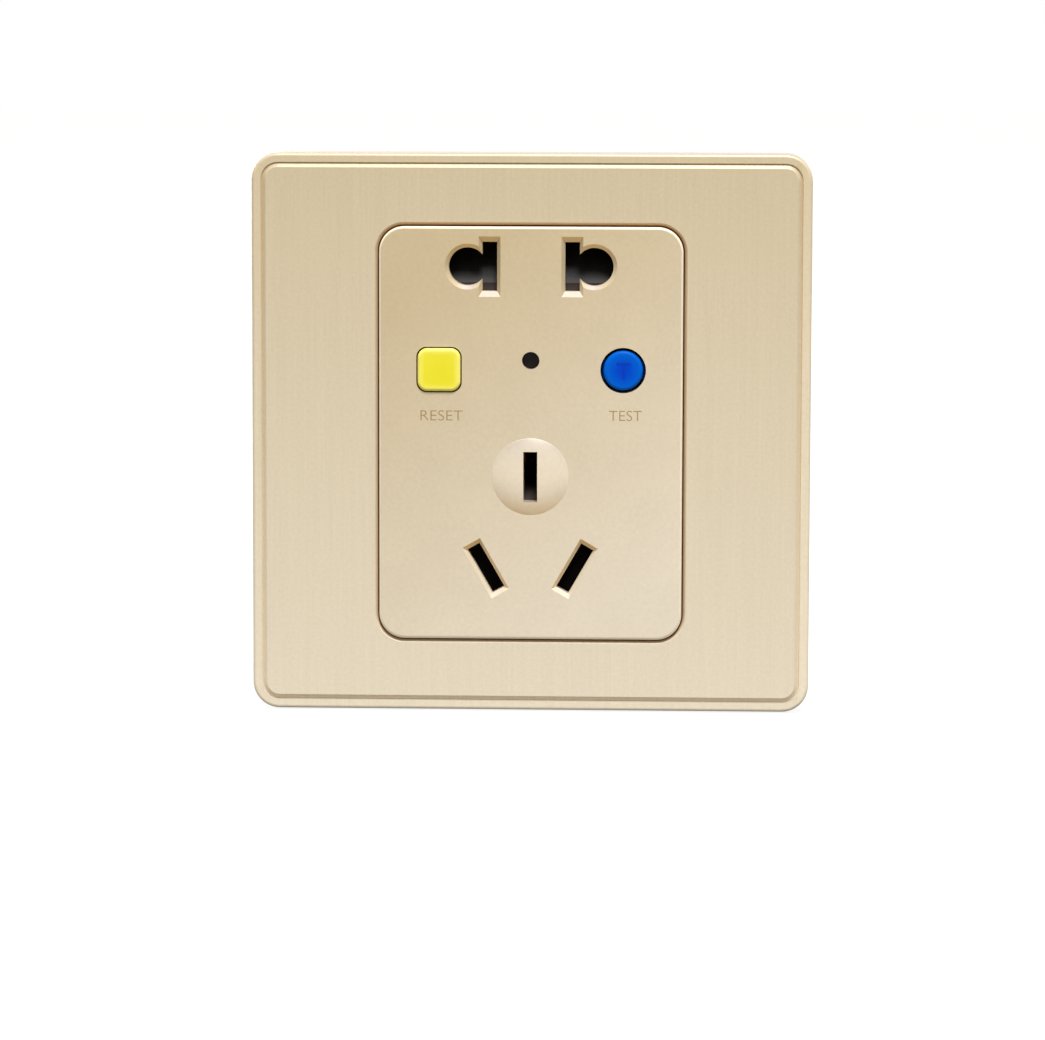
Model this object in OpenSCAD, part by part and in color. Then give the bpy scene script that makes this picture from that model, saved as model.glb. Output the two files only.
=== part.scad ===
// Wall socket outlet with a residual-current trip, in millimetres.
// Every piece is drawn lying on its back and then stood up by on_wall(): in a module, x runs
// to the right, y runs up and z comes out of the wall, with z = 0 on the wall's surface.

/* [Front plate] */
// Width of the front plate
plate_w = 86; // [80:1:120]
// Height of the front plate
plate_h = 86; // [80:1:120]
// Radius of the plate's corners, seen from the front
plate_corner_r = 4.1; // [3:0.1:8]
// How far the raised panel stands out from the wall
panel_z = 8.5; // [8:0.1:12]
// Thickness of the plate's panel and skirt
plate_wall = 1.8; // [1.4:0.1:2.4]
// Radius of the plate's outer edge
rim_round = 0.5; // [0.3:0.1:1.2]
// Distance of the groove from the plate's edge
groove_inset = 1.4; // [1.1:0.1:1.6]
// Width of the groove round the raised panel
groove_w = 0.8; // [0.4:0.1:0.9]
// Depth of that groove
groove_depth = 0.3; // [0.2:0.1:0.6]

/* [Socket face] */
// Width of the socket face
face_w = 46.7; // [44:0.1:60]
// Height of the socket face
face_h = 63.7; // [61:0.1:80]
// Radius of the face's corners
face_corner_r = 3.9; // [2.5:0.1:6]
// How far the face stands proud of the panel
face_proud = 0.4; // [0:0.1:1]
// Thickness of the face
face_t = 2.4; // [2:0.1:3]
// Thickness of its side walls
side_wall = 1.6; // [1.2:0.1:2.2]
// Gap between the face and the plate's opening, all round
face_gap = 0.2; // [0.15:0.05:0.6]

/* [Two-pin socket] */
// Height of the two-pin openings above the middle
two_pin_y = 25.7; // [24:0.1:27]
// Distance between the flat slots
flat_pitch = 12.7; // [12:0.1:13.5]
// Width of a flat slot
flat_w = 2.25; // [1.8:0.05:2.8]
// Height of a flat slot
flat_h = 7.55; // [6.5:0.05:9]
// Distance between the round holes
round_pitch = 19.45; // [18.5:0.05:20.5]
// Diameter of a round hole
round_d = 5.85; // [4.8:0.05:6.8]

/* [Three-pin socket] */
// Height of the three-pin socket's centre
three_pin_y = -16.9; // [-18:0.1:-15]
// Distance of the live and neutral pins from that centre
pin_circle_r = 7.92; // [7:0.02:9]
// Distance of the earth pin above that centre
earth_up = 10.3; // [9:0.1:11.5]
// Width of a three-pin slot
pin_slot_w = 2.15; // [1.8:0.05:2.6]
// Length of a three-pin slot
pin_slot_h = 7.75; // [6.6:0.05:9]
// Tilt of the live and neutral slots
pin_tilt = 30; // [28:1:32]
// Diameter of the raised dome round the earth slot
dome_d = 11.9; // [10:0.1:13]
// Height of that dome
dome_rise = 0.9; // [0.3:0.1:1.5]

/* [Buttons] */
// Sideways place of the RESET button
reset_x = -14.1; // [-15:0.1:-13]
// Sideways place of the TEST button
test_x = 14.2; // [13:0.1:15]
// Height of both buttons above the middle
button_y = 9.85; // [9:0.05:10.5]
// Side of the square RESET button
reset_size = 6.6; // [5.5:0.1:8.2]
// Diameter of the TEST button
test_d = 6.1; // [5:0.1:7.4]
// Gap round the RESET button
reset_gap = 0.2; // [0.05:0.05:0.4]
// Gap round the TEST button
test_gap = 0.45; // [0.1:0.05:0.6]
// How far the RESET button goes in
reset_travel = 2; // [1.2:0.1:2.5]
// How far the TEST button goes in
test_travel = 1.5; // [1:0.1:2]
// Diameter of the indicator's hole
indicator_d = 2.7; // [2:0.1:3.5]
// Height of that hole above the middle
indicator_y = 11.3; // [11:0.1:12]

/* [Fixing to the wall] */
// Distance between the two fixing screws
screw_pitch = 60.3; // [58:0.1:62]
// Width of a fixing slot
screw_slot_w = 4.3; // [3.8:0.1:5]
// Length of a fixing slot, end to end
screw_slot_l = 7; // [5.5:0.5:8]
// Thickness of the mounting frame
frame_t = 3; // [2.6:0.1:3.4]
// Gap between the frame and the inside of the plate
frame_gap = 1.2; // [0.6:0.1:2]

/* [Rear housing] */
// How much wider than the socket face the housing is
housing_extra_w = 3.3; // [2:0.1:8]
// How much higher than the socket face the housing is
housing_extra_h = 3.3; // [2:0.1:8]
// How far the housing reaches into the wall
housing_depth = 34; // [32:0.5:46]
// Thickness of the housing's walls
housing_wall = 1.6; // [1.2:0.1:2.2]
// Thickness of the housing's rear wall
rear_wall = 2; // [1.6:0.1:2.6]

/* [Terminals] */
// Distance between two terminals
terminal_pitch = 9.9; // [9.6:0.1:10.6]
// Width and height of a wire's way in
wire_window = 5.4; // [5:0.1:5.8]

/* [Pins] */
// How far the longest pin, the earth pin, reaches in from the face
earth_pin_l = 21; // [20:0.5:24]
// How far the other pins reach in
pin_l = 18; // [16:0.5:20]

/* [Hidden] */
$fn = 48;

// A little more than a cut needs, so that it runs clear through
over = 0.5;
// Running gap between pieces that slide
run_gap = 0.2;

// Levels from the front to the wall
face_z = panel_z + face_proud;
face_back = face_z - face_t;
panel_back = panel_z - plate_wall;
flange_t = 1.2;
flange_w = 2.1;
opening_w = face_w + 2 * face_gap;
opening_h = face_h + 2 * face_gap;
opening_r = face_corner_r + face_gap;
opening_bevel = 0.45;

// The shutters run between the face and their retainer
shutter_top = face_back - run_gap;
shutter_t = 4.4;
shutter_base = shutter_top - shutter_t;
retainer_top = shutter_base - run_gap;
retainer_t = 1.4;
retainer_base = retainer_top - retainer_t;

// The inside of the face, and the screws that hold the retainer and the housing
inner_w = face_w - 2 * side_wall;
inner_h = face_h - 2 * side_wall;
post_x = inner_w / 2 - 2.55;
post_y = inner_h / 2 - 2.45;
boss_r = 2.4;
pilot_r = 1.15;
retainer_screw_x = inner_w / 2 - 2.3;
retainer_screw_y = -2;

// Pin places
flat_x = flat_pitch / 2;
round_x = round_pitch / 2;
pin_x = pin_circle_r * cos(pin_tilt);
pin_y = three_pin_y - pin_circle_r * sin(pin_tilt);
earth_y = three_pin_y + earth_up;
slot_reach_y = (pin_slot_h * cos(pin_tilt) + pin_slot_w * sin(pin_tilt)) / 2;
slot_reach_x = (pin_slot_h * sin(pin_tilt) + pin_slot_w * cos(pin_tilt)) / 2;

// The two-pin shutter covers the openings by this much and drops clear of them
two_pin_cover = 0.4;
two_pin_travel = max(flat_h, round_d) + 2 * two_pin_cover;
two_pin_top = two_pin_y + flat_h / 2 + two_pin_cover;
two_pin_low = two_pin_y - flat_h / 2 - two_pin_cover;
two_pin_side = round_x + round_d / 2 + 1.1;
two_pin_spring_x = two_pin_side + 1.4;
two_pin_spring_r = 1.2;
ear_h = 3;
button_top = button_y + max(reset_size / 2 + reset_gap, test_d / 2 + test_gap);
two_pin_floor = max(two_pin_low - two_pin_travel + 0.1, button_top + 1.2);

// The three-pin shutter drops until its own slots meet the face's
shutter_slot_w = pin_slot_w + 0.4;
three_pin_travel = ceil(((pin_slot_w + shutter_slot_w) / 2 + 0.15) / sin(pin_tilt) * 10) / 10;
three_pin_low = pin_y - slot_reach_y - 0.3;
three_pin_top = pin_y + three_pin_travel + slot_reach_y + 1.5;
three_pin_side = pin_x + slot_reach_x + 2.6;
three_pin_spring_x = three_pin_side + 2.4;
three_pin_spring_r = 1.4;
three_pin_ear_y = three_pin_top - 5.4;
three_pin_floor = three_pin_low - three_pin_travel + 1.4;
tongue_w = 6.4;
tongue_top = earth_y + pin_slot_h / 2 + three_pin_travel + 2;

// The contacts, from their mouths to the deck that carries them
contact_top = retainer_base - 0.3;
strap_t = 0.8;
strap_top = min(face_z - pin_l - 0.3, contact_top - 8);
strap_base = strap_top - strap_t;
leaf_t = 0.5;
pinch = 0.5;
clip_l = 6;
deck_top = face_z - earth_pin_l - 0.5;
deck_t = 1.5;
deck_base = deck_top - deck_t;
strap_x = 6.4;
strap_w = 4;
riser_y = button_y + 10.4;

// The board lies on pads at the bottom of the housing
housing_w = face_w + housing_extra_w;
housing_h = face_h + housing_extra_h;
rear_z = -housing_depth;
floor_z = rear_z + rear_wall;
pad_t = 0.8;
housing_seat = 0.5;
housing_r = 3;
board_t = 1.6;
board_base = floor_z + pad_t;
board_z = board_base + board_t;
cavity_w = housing_w - 2 * housing_wall;
cavity_h = housing_h - 2 * housing_wall;
corner_block = 7.6;

// The holding magnet stands under the RESET button
yoke_t = 1.2;
yoke_w = 9;
yoke_l = 15;
pole_z = board_z + 7.8;
magnet_gap = 0.1;
armature_t = 1.2;
core_r = 2;
bobbin_r = 5.2;
bobbin_base = board_z + yoke_t;
bobbin_top = pole_z - 0.4;
flange_thin = 0.8;

// The carriage moves with the RESET button and closes the contacts
armature_base = pole_z + magnet_gap + reset_travel;
carriage_base = armature_base + armature_t;
carriage_t = 2.5;
carriage_top = carriage_base + carriage_t;
carriage_h = 8;
carriage_left = reset_x - 8.7;
carriage_right = 11.2;
guide_left = reset_x - 6.9;
guide_right = 9.4;
guide_r = 1.1;
bridge_x = 4.5;
bridge_t = 0.8;
bridge_l = 17;
tip_r = 1.3;
tip_t = 0.8;
contact_reach = 7;
fixed_top = carriage_base - bridge_t - 2 * tip_t - reset_travel - magnet_gap;
fixed_base = fixed_top - strap_t;

// The sensing core stands on the board, and both conductors run through it
sensing_r = 7.2;
sensing_hole_r = 3.6;
sensing_l = 6;
sensing_y = -9.5;
sensing_z = board_z + sensing_r + 0.2;
conductor_x = 1.7;
conductor_w = 2;

// Terminals along the lower end of the housing
block_h = 11.8;
block_low = -housing_h / 2;
block_top = block_low + block_h;
cell_w = 8.2;
block_w = 2 * terminal_pitch + cell_w + 2.8;
block_wall = 1.8;
cell_low = block_low + block_wall;
cell_top = block_top - 1.4;
clamp_w = cell_w - 0.4;
clamp_low = cell_low + 0.5;
clamp_top = cell_top - 0.5;
clamp_base = floor_z + 0.3;
clamp_foot = 2.2;
clamp_window = fixed_top + 0.4 - clamp_base - clamp_foot;
clamp_rise = clamp_foot + clamp_window + 1;
wire_z = clamp_base + clamp_foot + 0.2 + wire_window / 2 - 0.1;
screw_r = 1.95;
terminal_y = (clamp_low + clamp_top) / 2;

// Buttons: a cap, ears that stop it under the face, and a stem
reset_z = face_z + 0.5;
test_z = face_z + 0.1;
ear_top = face_back - run_gap;
ear_t = 1;
reset_stem_r = 1.9;
test_stem_r = 1.6;
test_reach = deck_base - 1.4;

// Stands a piece up against the wall
module on_wall() {
    rotate([90, 0, 0]) children();
}

// A flat outline given its thickness, from one level to another
module layer(from, to) {
    translate([0, 0, from]) linear_extrude(to - from) children();
}

// Both halves of something that is the same on the left and on the right
module both_sides() {
    children();
    mirror([1, 0, 0]) children();
}

// Rectangle with rounded corners
module rounded_rect(w, h, r) {
    square([w - 2 * r, h], center = true);
    square([w, h - 2 * r], center = true);
    for (x = [-1, 1], y = [-1, 1])
        translate([x * (w / 2 - r), y * (h / 2 - r)]) circle(r);
}

// Runs an edge profile round a rounded rectangle. The profile's x is 0 at the centre of a
// corner and r at the rectangle's edge, and its y is the height above the wall.
module swept_edge(w, h, r) {
    half = [w / 2 - r, h / 2 - r];
    for (turn = [0:3]) {
        place = turn % 2 == 0 ? half : [half.y, half.x];
        rotate(90 * turn) translate(place) {
            rotate_extrude(angle = 90) children();
            rotate([90, 0, 0]) linear_extrude(2 * place.y) children();
        }
    }
}

// Profile rectangle from one corner to the opposite one
module profile(x0, x1, y0, y1) {
    translate([x0, y0]) square([x1 - x0, y1 - y0]);
}

// Helical spring between two levels, as one skin round the wire's path
module coil_spring(r, wire, low, high, turns) {
    steps = 12;
    sides = 6;
    count = steps * turns;
    rise = (high - low - wire) / count;
    lean = atan2(rise * steps, 2 * PI * r);
    rings = [for (i = [0:count], s = [0:sides - 1])
        let (a = 360 * i / steps, b = 360 * s / sides)
        let (out = r + wire / 2 * cos(b), side = wire / 2 * sin(b))
        [out * cos(a) + side * sin(lean) * sin(a), out * sin(a) - side * sin(lean) * cos(a),
            low + wire / 2 + rise * i + side * cos(lean)]];
    skin = [for (i = [0:count - 1], s = [0:sides - 1], half = [0, 1])
        let (t = (s + 1) % sides, a = i * sides, b = a + sides)
        half == 0 ? [a + s, b + s, b + t] : [a + s, b + t, a + t]];
    start = [for (s = [1:sides - 2]) [0, s, s + 1]];
    last = count * sides;
    end = [for (s = [1:sides - 2]) [last, last + s + 1, last + s]];
    polyhedron(rings, concat(skin, start, end), convexity = 4);
}

// Outline of one three-pin slot for a live or neutral pin, on the right
module slanted_slot(w, h) {
    translate([pin_x, pin_y]) rotate(-pin_tilt) square([w, h], center = true);
}

// Outlines of all the pins' ways through, each wider all round by grow
module pin_outlines(grow) {
    both_sides() {
        translate([flat_x, two_pin_y]) square([flat_w + 2 * grow, flat_h + 2 * grow], center = true);
        translate([round_x, two_pin_y]) circle(round_d / 2 + grow);
        slanted_slot(pin_slot_w + 2 * grow, pin_slot_h + 2 * grow);
    }
    translate([0, earth_y])
        square([pin_slot_w + 2 * grow, pin_slot_h + 2 * grow], center = true);
}

// Sloping lead-in round a slot, deep into the face, wider by side and by tip at the surface
module slot_bevel(w, h, side, tip, depth) {
    hull() {
        translate([0, 0, face_z - depth]) linear_extrude(0.01) square([w, h], center = true);
        translate([0, 0, face_z]) linear_extrude(0.01)
            square([w + 2 * side, h + 2 * tip], center = true);
    }
}

// Both shutters' ramps fall away from the pins that push them, across the whole thickness
module ramp(low, high, width) {
    rotate([90, 0, 90]) translate([0, 0, -width / 2]) linear_extrude(width)
        polygon([[low, shutter_top + over], [low, shutter_top],
            [high, shutter_base + 0.6], [high + over, shutter_base + 0.6],
            [high + over, shutter_top + over]]);
}

// One sprung leaf of a contact clip, bent in to grip the pin and out again at its mouth
module leaf(x, side, length) {
    pinch_z = contact_top - 2.6;
    foot = 1.6;
    translate([x, 0, 0]) scale([side, 1, 1]) rotate([90, 0, 0])
        linear_extrude(length, center = true)
            polygon([[foot, strap_top - 0.3], [foot + leaf_t, strap_top - 0.3],
                [foot + leaf_t, strap_top + 0.8], [pinch + leaf_t, pinch_z],
                [foot + leaf_t, contact_top], [foot, contact_top],
                [pinch, pinch_z], [foot, strap_top + 0.8]]);
}

// Flat strip through a list of points, with rounded joints
module strip(points, w) {
    for (i = [1:len(points) - 1]) {
        run = points[i] - points[i - 1];
        translate(points[i - 1]) rotate(atan2(run.y, run.x))
            translate([0, -w / 2]) square([norm(run), w]);
        if (i < len(points) - 1) translate(points[i]) circle(w / 2);
    }
}

// Places of the four screws that hold the housing to the face
module at_posts() {
    for (x = [-1, 1], y = [-1, 1]) translate([x * post_x, y * post_y, 0]) children();
}

// Pan-head screw with a cross recess, its head's seat at z = 0 and its shank along +z
module pan_screw(shank_r, shank_l, head_r, head_t) {
    difference() {
        union() {
            cylinder(r = shank_r, h = shank_l - shank_r);
            translate([0, 0, shank_l - shank_r])
                cylinder(r1 = shank_r, r2 = shank_r / 4, h = shank_r);
            translate([0, 0, -head_t]) cylinder(r1 = head_r * 0.8, r2 = head_r, h = head_t);
        }
        translate([0, 0, -head_t])
            for (turn = [0, 90]) rotate(turn)
                cube([head_r, head_r / 4, head_t], center = true);
    }
}

// Champagne plate: a hollow cover with a rounded rim, a groove and a slightly raised panel
module front_plate() {
    r = plate_corner_r;
    rim_z = panel_z - 0.2;
    clip_x = plate_w / 2 - plate_wall - frame_gap - 3.2;
    color("tan") on_wall() {
        difference() {
            union() {
                swept_edge(plate_w, plate_h, r) difference() {
                    union() {
                        profile(r - plate_wall, r, 0, rim_z - rim_round);
                        profile(0, r - rim_round, panel_back, rim_z);
                        profile(0, r - groove_inset, panel_back, panel_z);
                        translate([r - rim_round, rim_z - rim_round]) circle(rim_round);
                    }
                    // the groove has a steep outer wall, then a slope up to the panel
                    polygon([[r - groove_inset, panel_z + over], [r - groove_inset, rim_z],
                        [r - groove_inset - 0.15, rim_z - groove_depth],
                        [r - groove_inset - groove_w, panel_z],
                        [r - groove_inset - groove_w, panel_z + over]]);
                }
                layer(panel_back, panel_z)
                    square([plate_w - 2 * r, plate_h - 2 * r], center = true);
                // stiffening rib behind the opening's edge
                swept_edge(opening_w + 2.4, opening_h + 2.4, opening_r + 1.2)
                    profile(opening_r, opening_r + 1.2, panel_back - 1.3, panel_back + over);
                // four clips that catch in the frame
                both_sides() for (y = [-1, 1])
                    translate([clip_x, y * plate_h / 4, 0]) rotate([90, 0, 0])
                        linear_extrude(7, center = true)
                            polygon([[-0.6, panel_back + over], [0.6, panel_back + over],
                                [0.6, frame_t - 1.15], [1.2, frame_t - 1.35],
                                [1.2, frame_t - 1.7], [0.6, frame_t - 2.3],
                                [-0.6, frame_t - 2.3]]);
            }
            layer(panel_back - 2, panel_z + over) rounded_rect(opening_w, opening_h, opening_r);
            swept_edge(opening_w, opening_h, opening_r)
                polygon([[opening_r - over, panel_z - opening_bevel],
                    [opening_r, panel_z - opening_bevel],
                    [opening_r + opening_bevel, panel_z],
                    [opening_r + opening_bevel, panel_z + over],
                    [opening_r - over, panel_z + over]]);
            // notch under the lower edge for the blade that lifts the plate off
            translate([0, -plate_h / 2, 0]) cube([8, 3 * plate_wall, 2.4], center = true);
        }
    }
}

// Satin moulding with all the openings: a rounded tray that stands on the frame by its flange
module socket_face() {
    r = face_corner_r;
    round = 0.45;
    color("wheat") on_wall() {
        difference() {
            union() {
                swept_edge(face_w, face_h, r) {
                    profile(0, r - round, face_back, face_z);
                    profile(r - side_wall, r, frame_t, face_z - round);
                    profile(r - side_wall, r + flange_w, frame_t, frame_t + flange_t);
                    translate([r - round, face_z - round]) circle(round);
                }
                layer(face_back, face_z)
                    square([face_w - 2 * r, face_h - 2 * r], center = true);
                // dome round the earth slot
                translate([0, earth_y, 0]) earth_dome();
                at_posts() layer(retainer_base, face_back + over) circle(boss_r);
                both_sides() {
                    translate([retainer_screw_x, retainer_screw_y, 0])
                        layer(retainer_top, face_back + over) circle(boss_r - 0.3);
                    // ledges that the shutters' springs stand on
                    spring_ledge(two_pin_spring_x, two_pin_floor, two_pin_spring_r);
                    spring_ledge(three_pin_spring_x, three_pin_floor, three_pin_spring_r);
                    // rails that guide the three-pin shutter's tongue
                    translate([tongue_w / 2 + 0.3, three_pin_top + 0.6, shutter_base + 0.3])
                        cube([1, tongue_top - three_pin_top - 1.6, face_back - shutter_base]);
                }
                // rail in the middle of the two-pin shutter
                translate([-0.8, indicator_y + 3.2, shutter_base + 1.6])
                    cube([1.6, inner_h / 2 - indicator_y - 3.2 + over,
                        face_back - shutter_base - 1.2]);
                translate([0, indicator_y, 0])
                    layer(face_back - 2, face_back + over) circle(indicator_d / 2 + 0.6);
            }
            layer(shutter_base, face_z + 2) pin_outlines(0);
            both_sides() {
                translate([flat_x, two_pin_y, 0]) slot_bevel(flat_w, flat_h, 0.55, 0.85, 0.8);
                translate([round_x, two_pin_y, face_z - 0.6])
                    cylinder(r1 = round_d / 2, r2 = round_d / 2 + 0.6, h = 0.6);
                translate([pin_x, pin_y, 0]) rotate(-pin_tilt)
                    slot_bevel(pin_slot_w, pin_slot_h, 0.5, 0.65, 0.7);
            }
            translate([reset_x, button_y, 0]) layer(shutter_base, face_z + 1)
                rounded_rect(reset_size + 2 * reset_gap, reset_size + 2 * reset_gap, 1.6);
            translate([test_x, button_y, 0])
                layer(shutter_base, face_z + 1) circle(test_d / 2 + test_gap);
            translate([0, indicator_y, 0]) layer(shutter_base, face_z + 1) circle(indicator_d / 2);
            // room in the upper wall where the two-pin shutter is taller than the inside
            if (two_pin_top + run_gap > inner_h / 2)
                translate([-two_pin_side - run_gap, inner_h / 2 - run_gap, shutter_base - 1])
                    cube([2 * (two_pin_side + run_gap), two_pin_top + 2 * run_gap - inner_h / 2,
                        shutter_t + run_gap + 1]);
            at_posts() layer(retainer_base - 1, face_back - 0.8) circle(pilot_r);
            both_sides() translate([retainer_screw_x, retainer_screw_y, 0])
                layer(retainer_top - 1, face_back - 0.8) circle(0.85);
        }
    }
}

// Low dome that stands on the face round the earth slot, nearly flat in the middle and
// steeper towards its edge
module earth_dome() {
    steps = 20;
    fullness = 3;
    rotate_extrude() polygon([[0, face_z - over],
        for (i = [0:steps]) [dome_d / 2 * i / steps,
            face_z + dome_rise * (1 - pow(i / steps, fullness))],
        [dome_d / 2, face_z - over]]);
}

// Ledge under the face that a shutter's spring stands on
module spring_ledge(x, y, r) {
    mid = (shutter_top + shutter_base) / 2;
    translate([x - r, y - 0.8, mid - r - 0.3])
        cube([2 * r + 0.4, 0.8, face_back - mid + r + 0.3 + over]);
}

// Moulded frame behind the plate, screwed to the wall box
module mounting_frame() {
    frame_w = plate_w - 2 * plate_wall - 2 * frame_gap;
    frame_h = plate_h - 2 * plate_wall - 2 * frame_gap;
    clip_x = frame_w / 2 - 3.2;
    r = plate_corner_r - 1;
    color("gainsboro") on_wall() difference() {
        union() {
            layer(0, frame_t) square([frame_w - 2 * r, frame_h - 2 * r], center = true);
            swept_edge(frame_w, frame_h, r) {
                profile(0, r, 0, frame_t);
                profile(r - 1.2, r, 0, frame_t + 1.4);
            }
            for (side = [-1, 1]) translate([side * screw_pitch / 2, 0, frame_t / 2])
                layer(0, frame_t / 2 + 0.6)
                    square([screw_slot_l + 1.8, screw_slot_w + 4.2], center = true);
        }
        layer(-1, frame_t + 3) rounded_rect(face_w - 0.7, face_h - 0.7, face_corner_r);
        // room for the face's flange between the two fixing bosses
        layer(frame_t, frame_t + 3)
            rounded_rect(face_w + 2 * (flange_w + run_gap), face_h + 2 * (flange_w + run_gap),
                face_corner_r + flange_w);
        // shallow seat for the housing's rim
        layer(-1, housing_seat)
            rounded_rect(housing_w + run_gap, housing_h + run_gap, housing_r + run_gap / 2);
        both_sides() {
            translate([screw_pitch / 2, 0, 0]) layer(-1, frame_t + 3) {
                square([screw_slot_l - screw_slot_w, screw_slot_w], center = true);
                for (x = [-1, 1]) translate([x * (screw_slot_l - screw_slot_w) / 2, 0])
                    circle(screw_slot_w / 2);
            }
            for (y = [-1, 1]) translate([clip_x, y * plate_h / 4, 0]) {
                layer(-1, frame_t + 3) translate([-0.9, -3.9]) square([1.75, 7.8]);
                layer(-1, frame_t - 1) translate([-0.9, -3.9]) square([2.5, 7.8]);
            }
        }
    }
}

// Box behind the frame: closed rear wall, screw columns in the corners, open for the terminals
module rear_housing() {
    r = housing_r;
    round = 1;
    block_gap = 0.2;
    color("whitesmoke") on_wall() difference() {
        union() {
            swept_edge(housing_w, housing_h, r) {
                profile(r - housing_wall, r, rear_z + round, housing_seat);
                profile(0, r - round, rear_z, floor_z);
                translate([r - round, rear_z + round]) circle(round);
            }
            layer(rear_z, floor_z)
                square([housing_w - 2 * r, housing_h - 2 * r], center = true);
            for (x = [-1, 1], y = [-1, 1]) scale([x, y, 1])
                translate([housing_w / 2 - corner_block, housing_h / 2 - corner_block, rear_z + 0.2])
                    cube([corner_block - r / 2, corner_block - r / 2, -rear_z - 0.2]);
            for (x = [-1, 1], y = [-12, 18])
                translate([x * (cavity_w / 2 - 1.6), y, 0])
                    layer(rear_z + 0.2, board_base) circle(1.5);
            // ledges that carry the deck
            for (x = [-1, 1]) scale([x, 1, 1])
                translate([cavity_w / 2 - 0.4, -5, board_z + 0.4])
                    cube([0.4 + housing_wall / 2, 20, deck_base - board_z - 0.4]);
        }
        at_posts() {
            layer(rear_z - 1, -6) circle(2.6);
            layer(rear_z - 1, 1) circle(1.5);
        }
        translate([0, block_low, (rear_z + deck_top) / 2])
            cube([block_w + 2 * block_gap, 2 * (block_h + block_gap), deck_top - rear_z + 2 * block_gap],
                center = true);
    }
}

// Four long screws from the rear of the housing into the face
module housing_screws() {
    color("silver") on_wall() at_posts() translate([0, 0, -6])
        pan_screw(1.1, 6 + face_back - 2, 2.4, 1.7);
}

// Plate behind the shutters, with the pins' and buttons' ways through
module shutter_retainer() {
    color("dimgray") on_wall() difference() {
        layer(retainer_base, retainer_top)
            rounded_rect(inner_w - 0.6, inner_h - 0.6, 2);
        layer(retainer_base - 1, retainer_top + 1) {
            pin_outlines(0.4);
            at_posts() circle(boss_r + 0.2);
            translate([reset_x, button_y]) circle(reset_stem_r + 0.3);
            translate([test_x, button_y]) circle(test_stem_r + 0.3);
            translate([0, indicator_y]) circle(indicator_d / 2 + 0.3);
            both_sides() translate([retainer_screw_x, retainer_screw_y]) circle(1.2);
        }
    }
}

// Two small screws that hold the retainer to the face
module retainer_screws() {
    color("silver") on_wall() for (side = [-1, 1])
        translate([side * retainer_screw_x, retainer_screw_y, retainer_base])
            pan_screw(0.8, shutter_t - 0.2, 1.7, 1.1);
}

// Black slide behind the two-pin openings: both pins push on its ramps and it drops
module two_pin_shutter() {
    color("#202020") on_wall() difference() {
        union() {
            translate([-two_pin_side, two_pin_low, shutter_base])
                cube([2 * two_pin_side, two_pin_top - two_pin_low, shutter_t]);
            translate([-two_pin_side - 2.7, two_pin_top - 0.4 - ear_h, shutter_base])
                cube([2 * two_pin_side + 5.4, ear_h, shutter_t]);
        }
        for (side = [-1, 1]) translate([side * (flat_x + round_x) / 2 + side * 0.5, 0, 0])
            ramp(two_pin_low + 1.6, two_pin_top, round_d + flat_w + 1);
        // channel for the rail
        translate([-1, two_pin_low - 1, shutter_base + 1.4])
            cube([2, two_pin_top - two_pin_low + 2, shutter_t]);
    }
}

// The two coils that lift that shutter again
module two_pin_springs() {
    mid = (shutter_top + shutter_base) / 2;
    color("silver") on_wall() both_sides()
        translate([two_pin_spring_x, two_pin_floor + 0.1, mid]) rotate([-90, 0, 0])
            coil_spring(two_pin_spring_r - 0.15, 0.3, 0,
                two_pin_top - 0.5 - ear_h - two_pin_floor - 0.1, 8);
}

// Black slide behind the three-pin slots: the earth pin drives it down until its slots line up
module three_pin_shutter() {
    color("#202020") on_wall() difference() {
        union() {
            translate([-three_pin_side, three_pin_low, shutter_base])
                cube([2 * three_pin_side, three_pin_top - three_pin_low, shutter_t]);
            translate([-three_pin_side - 4, three_pin_ear_y, shutter_base])
                cube([2 * three_pin_side + 8, ear_h, shutter_t]);
            translate([-tongue_w / 2, three_pin_top - over, shutter_base])
                cube([tongue_w, tongue_top - three_pin_top + over, shutter_t]);
        }
        translate([0, three_pin_travel, shutter_base - 1]) linear_extrude(shutter_t + 2)
            both_sides() slanted_slot(shutter_slot_w, pin_slot_h + 0.5);
        // the earth pin's window, with its ramp below
        translate([-1.4, earth_y - pin_slot_h / 2 + three_pin_travel - 0.2, shutter_base - 1])
            cube([2.8, pin_slot_h + 0.4, shutter_t + 2]);
        ramp(earth_y - pin_slot_h / 2 - 0.2, earth_y - pin_slot_h / 2 + three_pin_travel, 2.8);
    }
}

// The two coils that lift that shutter again
module three_pin_springs() {
    mid = (shutter_top + shutter_base) / 2;
    color("silver") on_wall() both_sides()
        translate([three_pin_spring_x, three_pin_floor + 0.1, mid]) rotate([-90, 0, 0])
            coil_spring(three_pin_spring_r - 0.2, 0.35, 0,
                three_pin_ear_y - three_pin_floor - 0.2, 6);
}

// Square cap with rounded edges, ears at its sides and a long stem to the carriage
module reset_button() {
    r = 1.5;
    round = 0.5;
    color("gold") on_wall() translate([reset_x, button_y, 0]) {
        swept_edge(reset_size, reset_size, r) {
            profile(0, r, ear_top - ear_t, reset_z - round);
            profile(0, r - round, ear_top, reset_z);
            translate([r - round, reset_z - round]) circle(round);
        }
        layer(ear_top - ear_t, reset_z)
            square([reset_size - 2 * r, reset_size - 2 * r], center = true);
        layer(ear_top - ear_t, ear_top) square([reset_size + 2.2, reset_size / 2], center = true);
        layer(carriage_top, ear_top - ear_t + over) circle(reset_stem_r);
    }
}

// Coil round the RESET stem, between the ears and the retainer
module reset_spring() {
    color("silver") on_wall() translate([reset_x, button_y, 0])
        coil_spring(reset_stem_r + 0.65, 0.4, retainer_top + 0.1, ear_top - ear_t - 0.1, 3);
}

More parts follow.
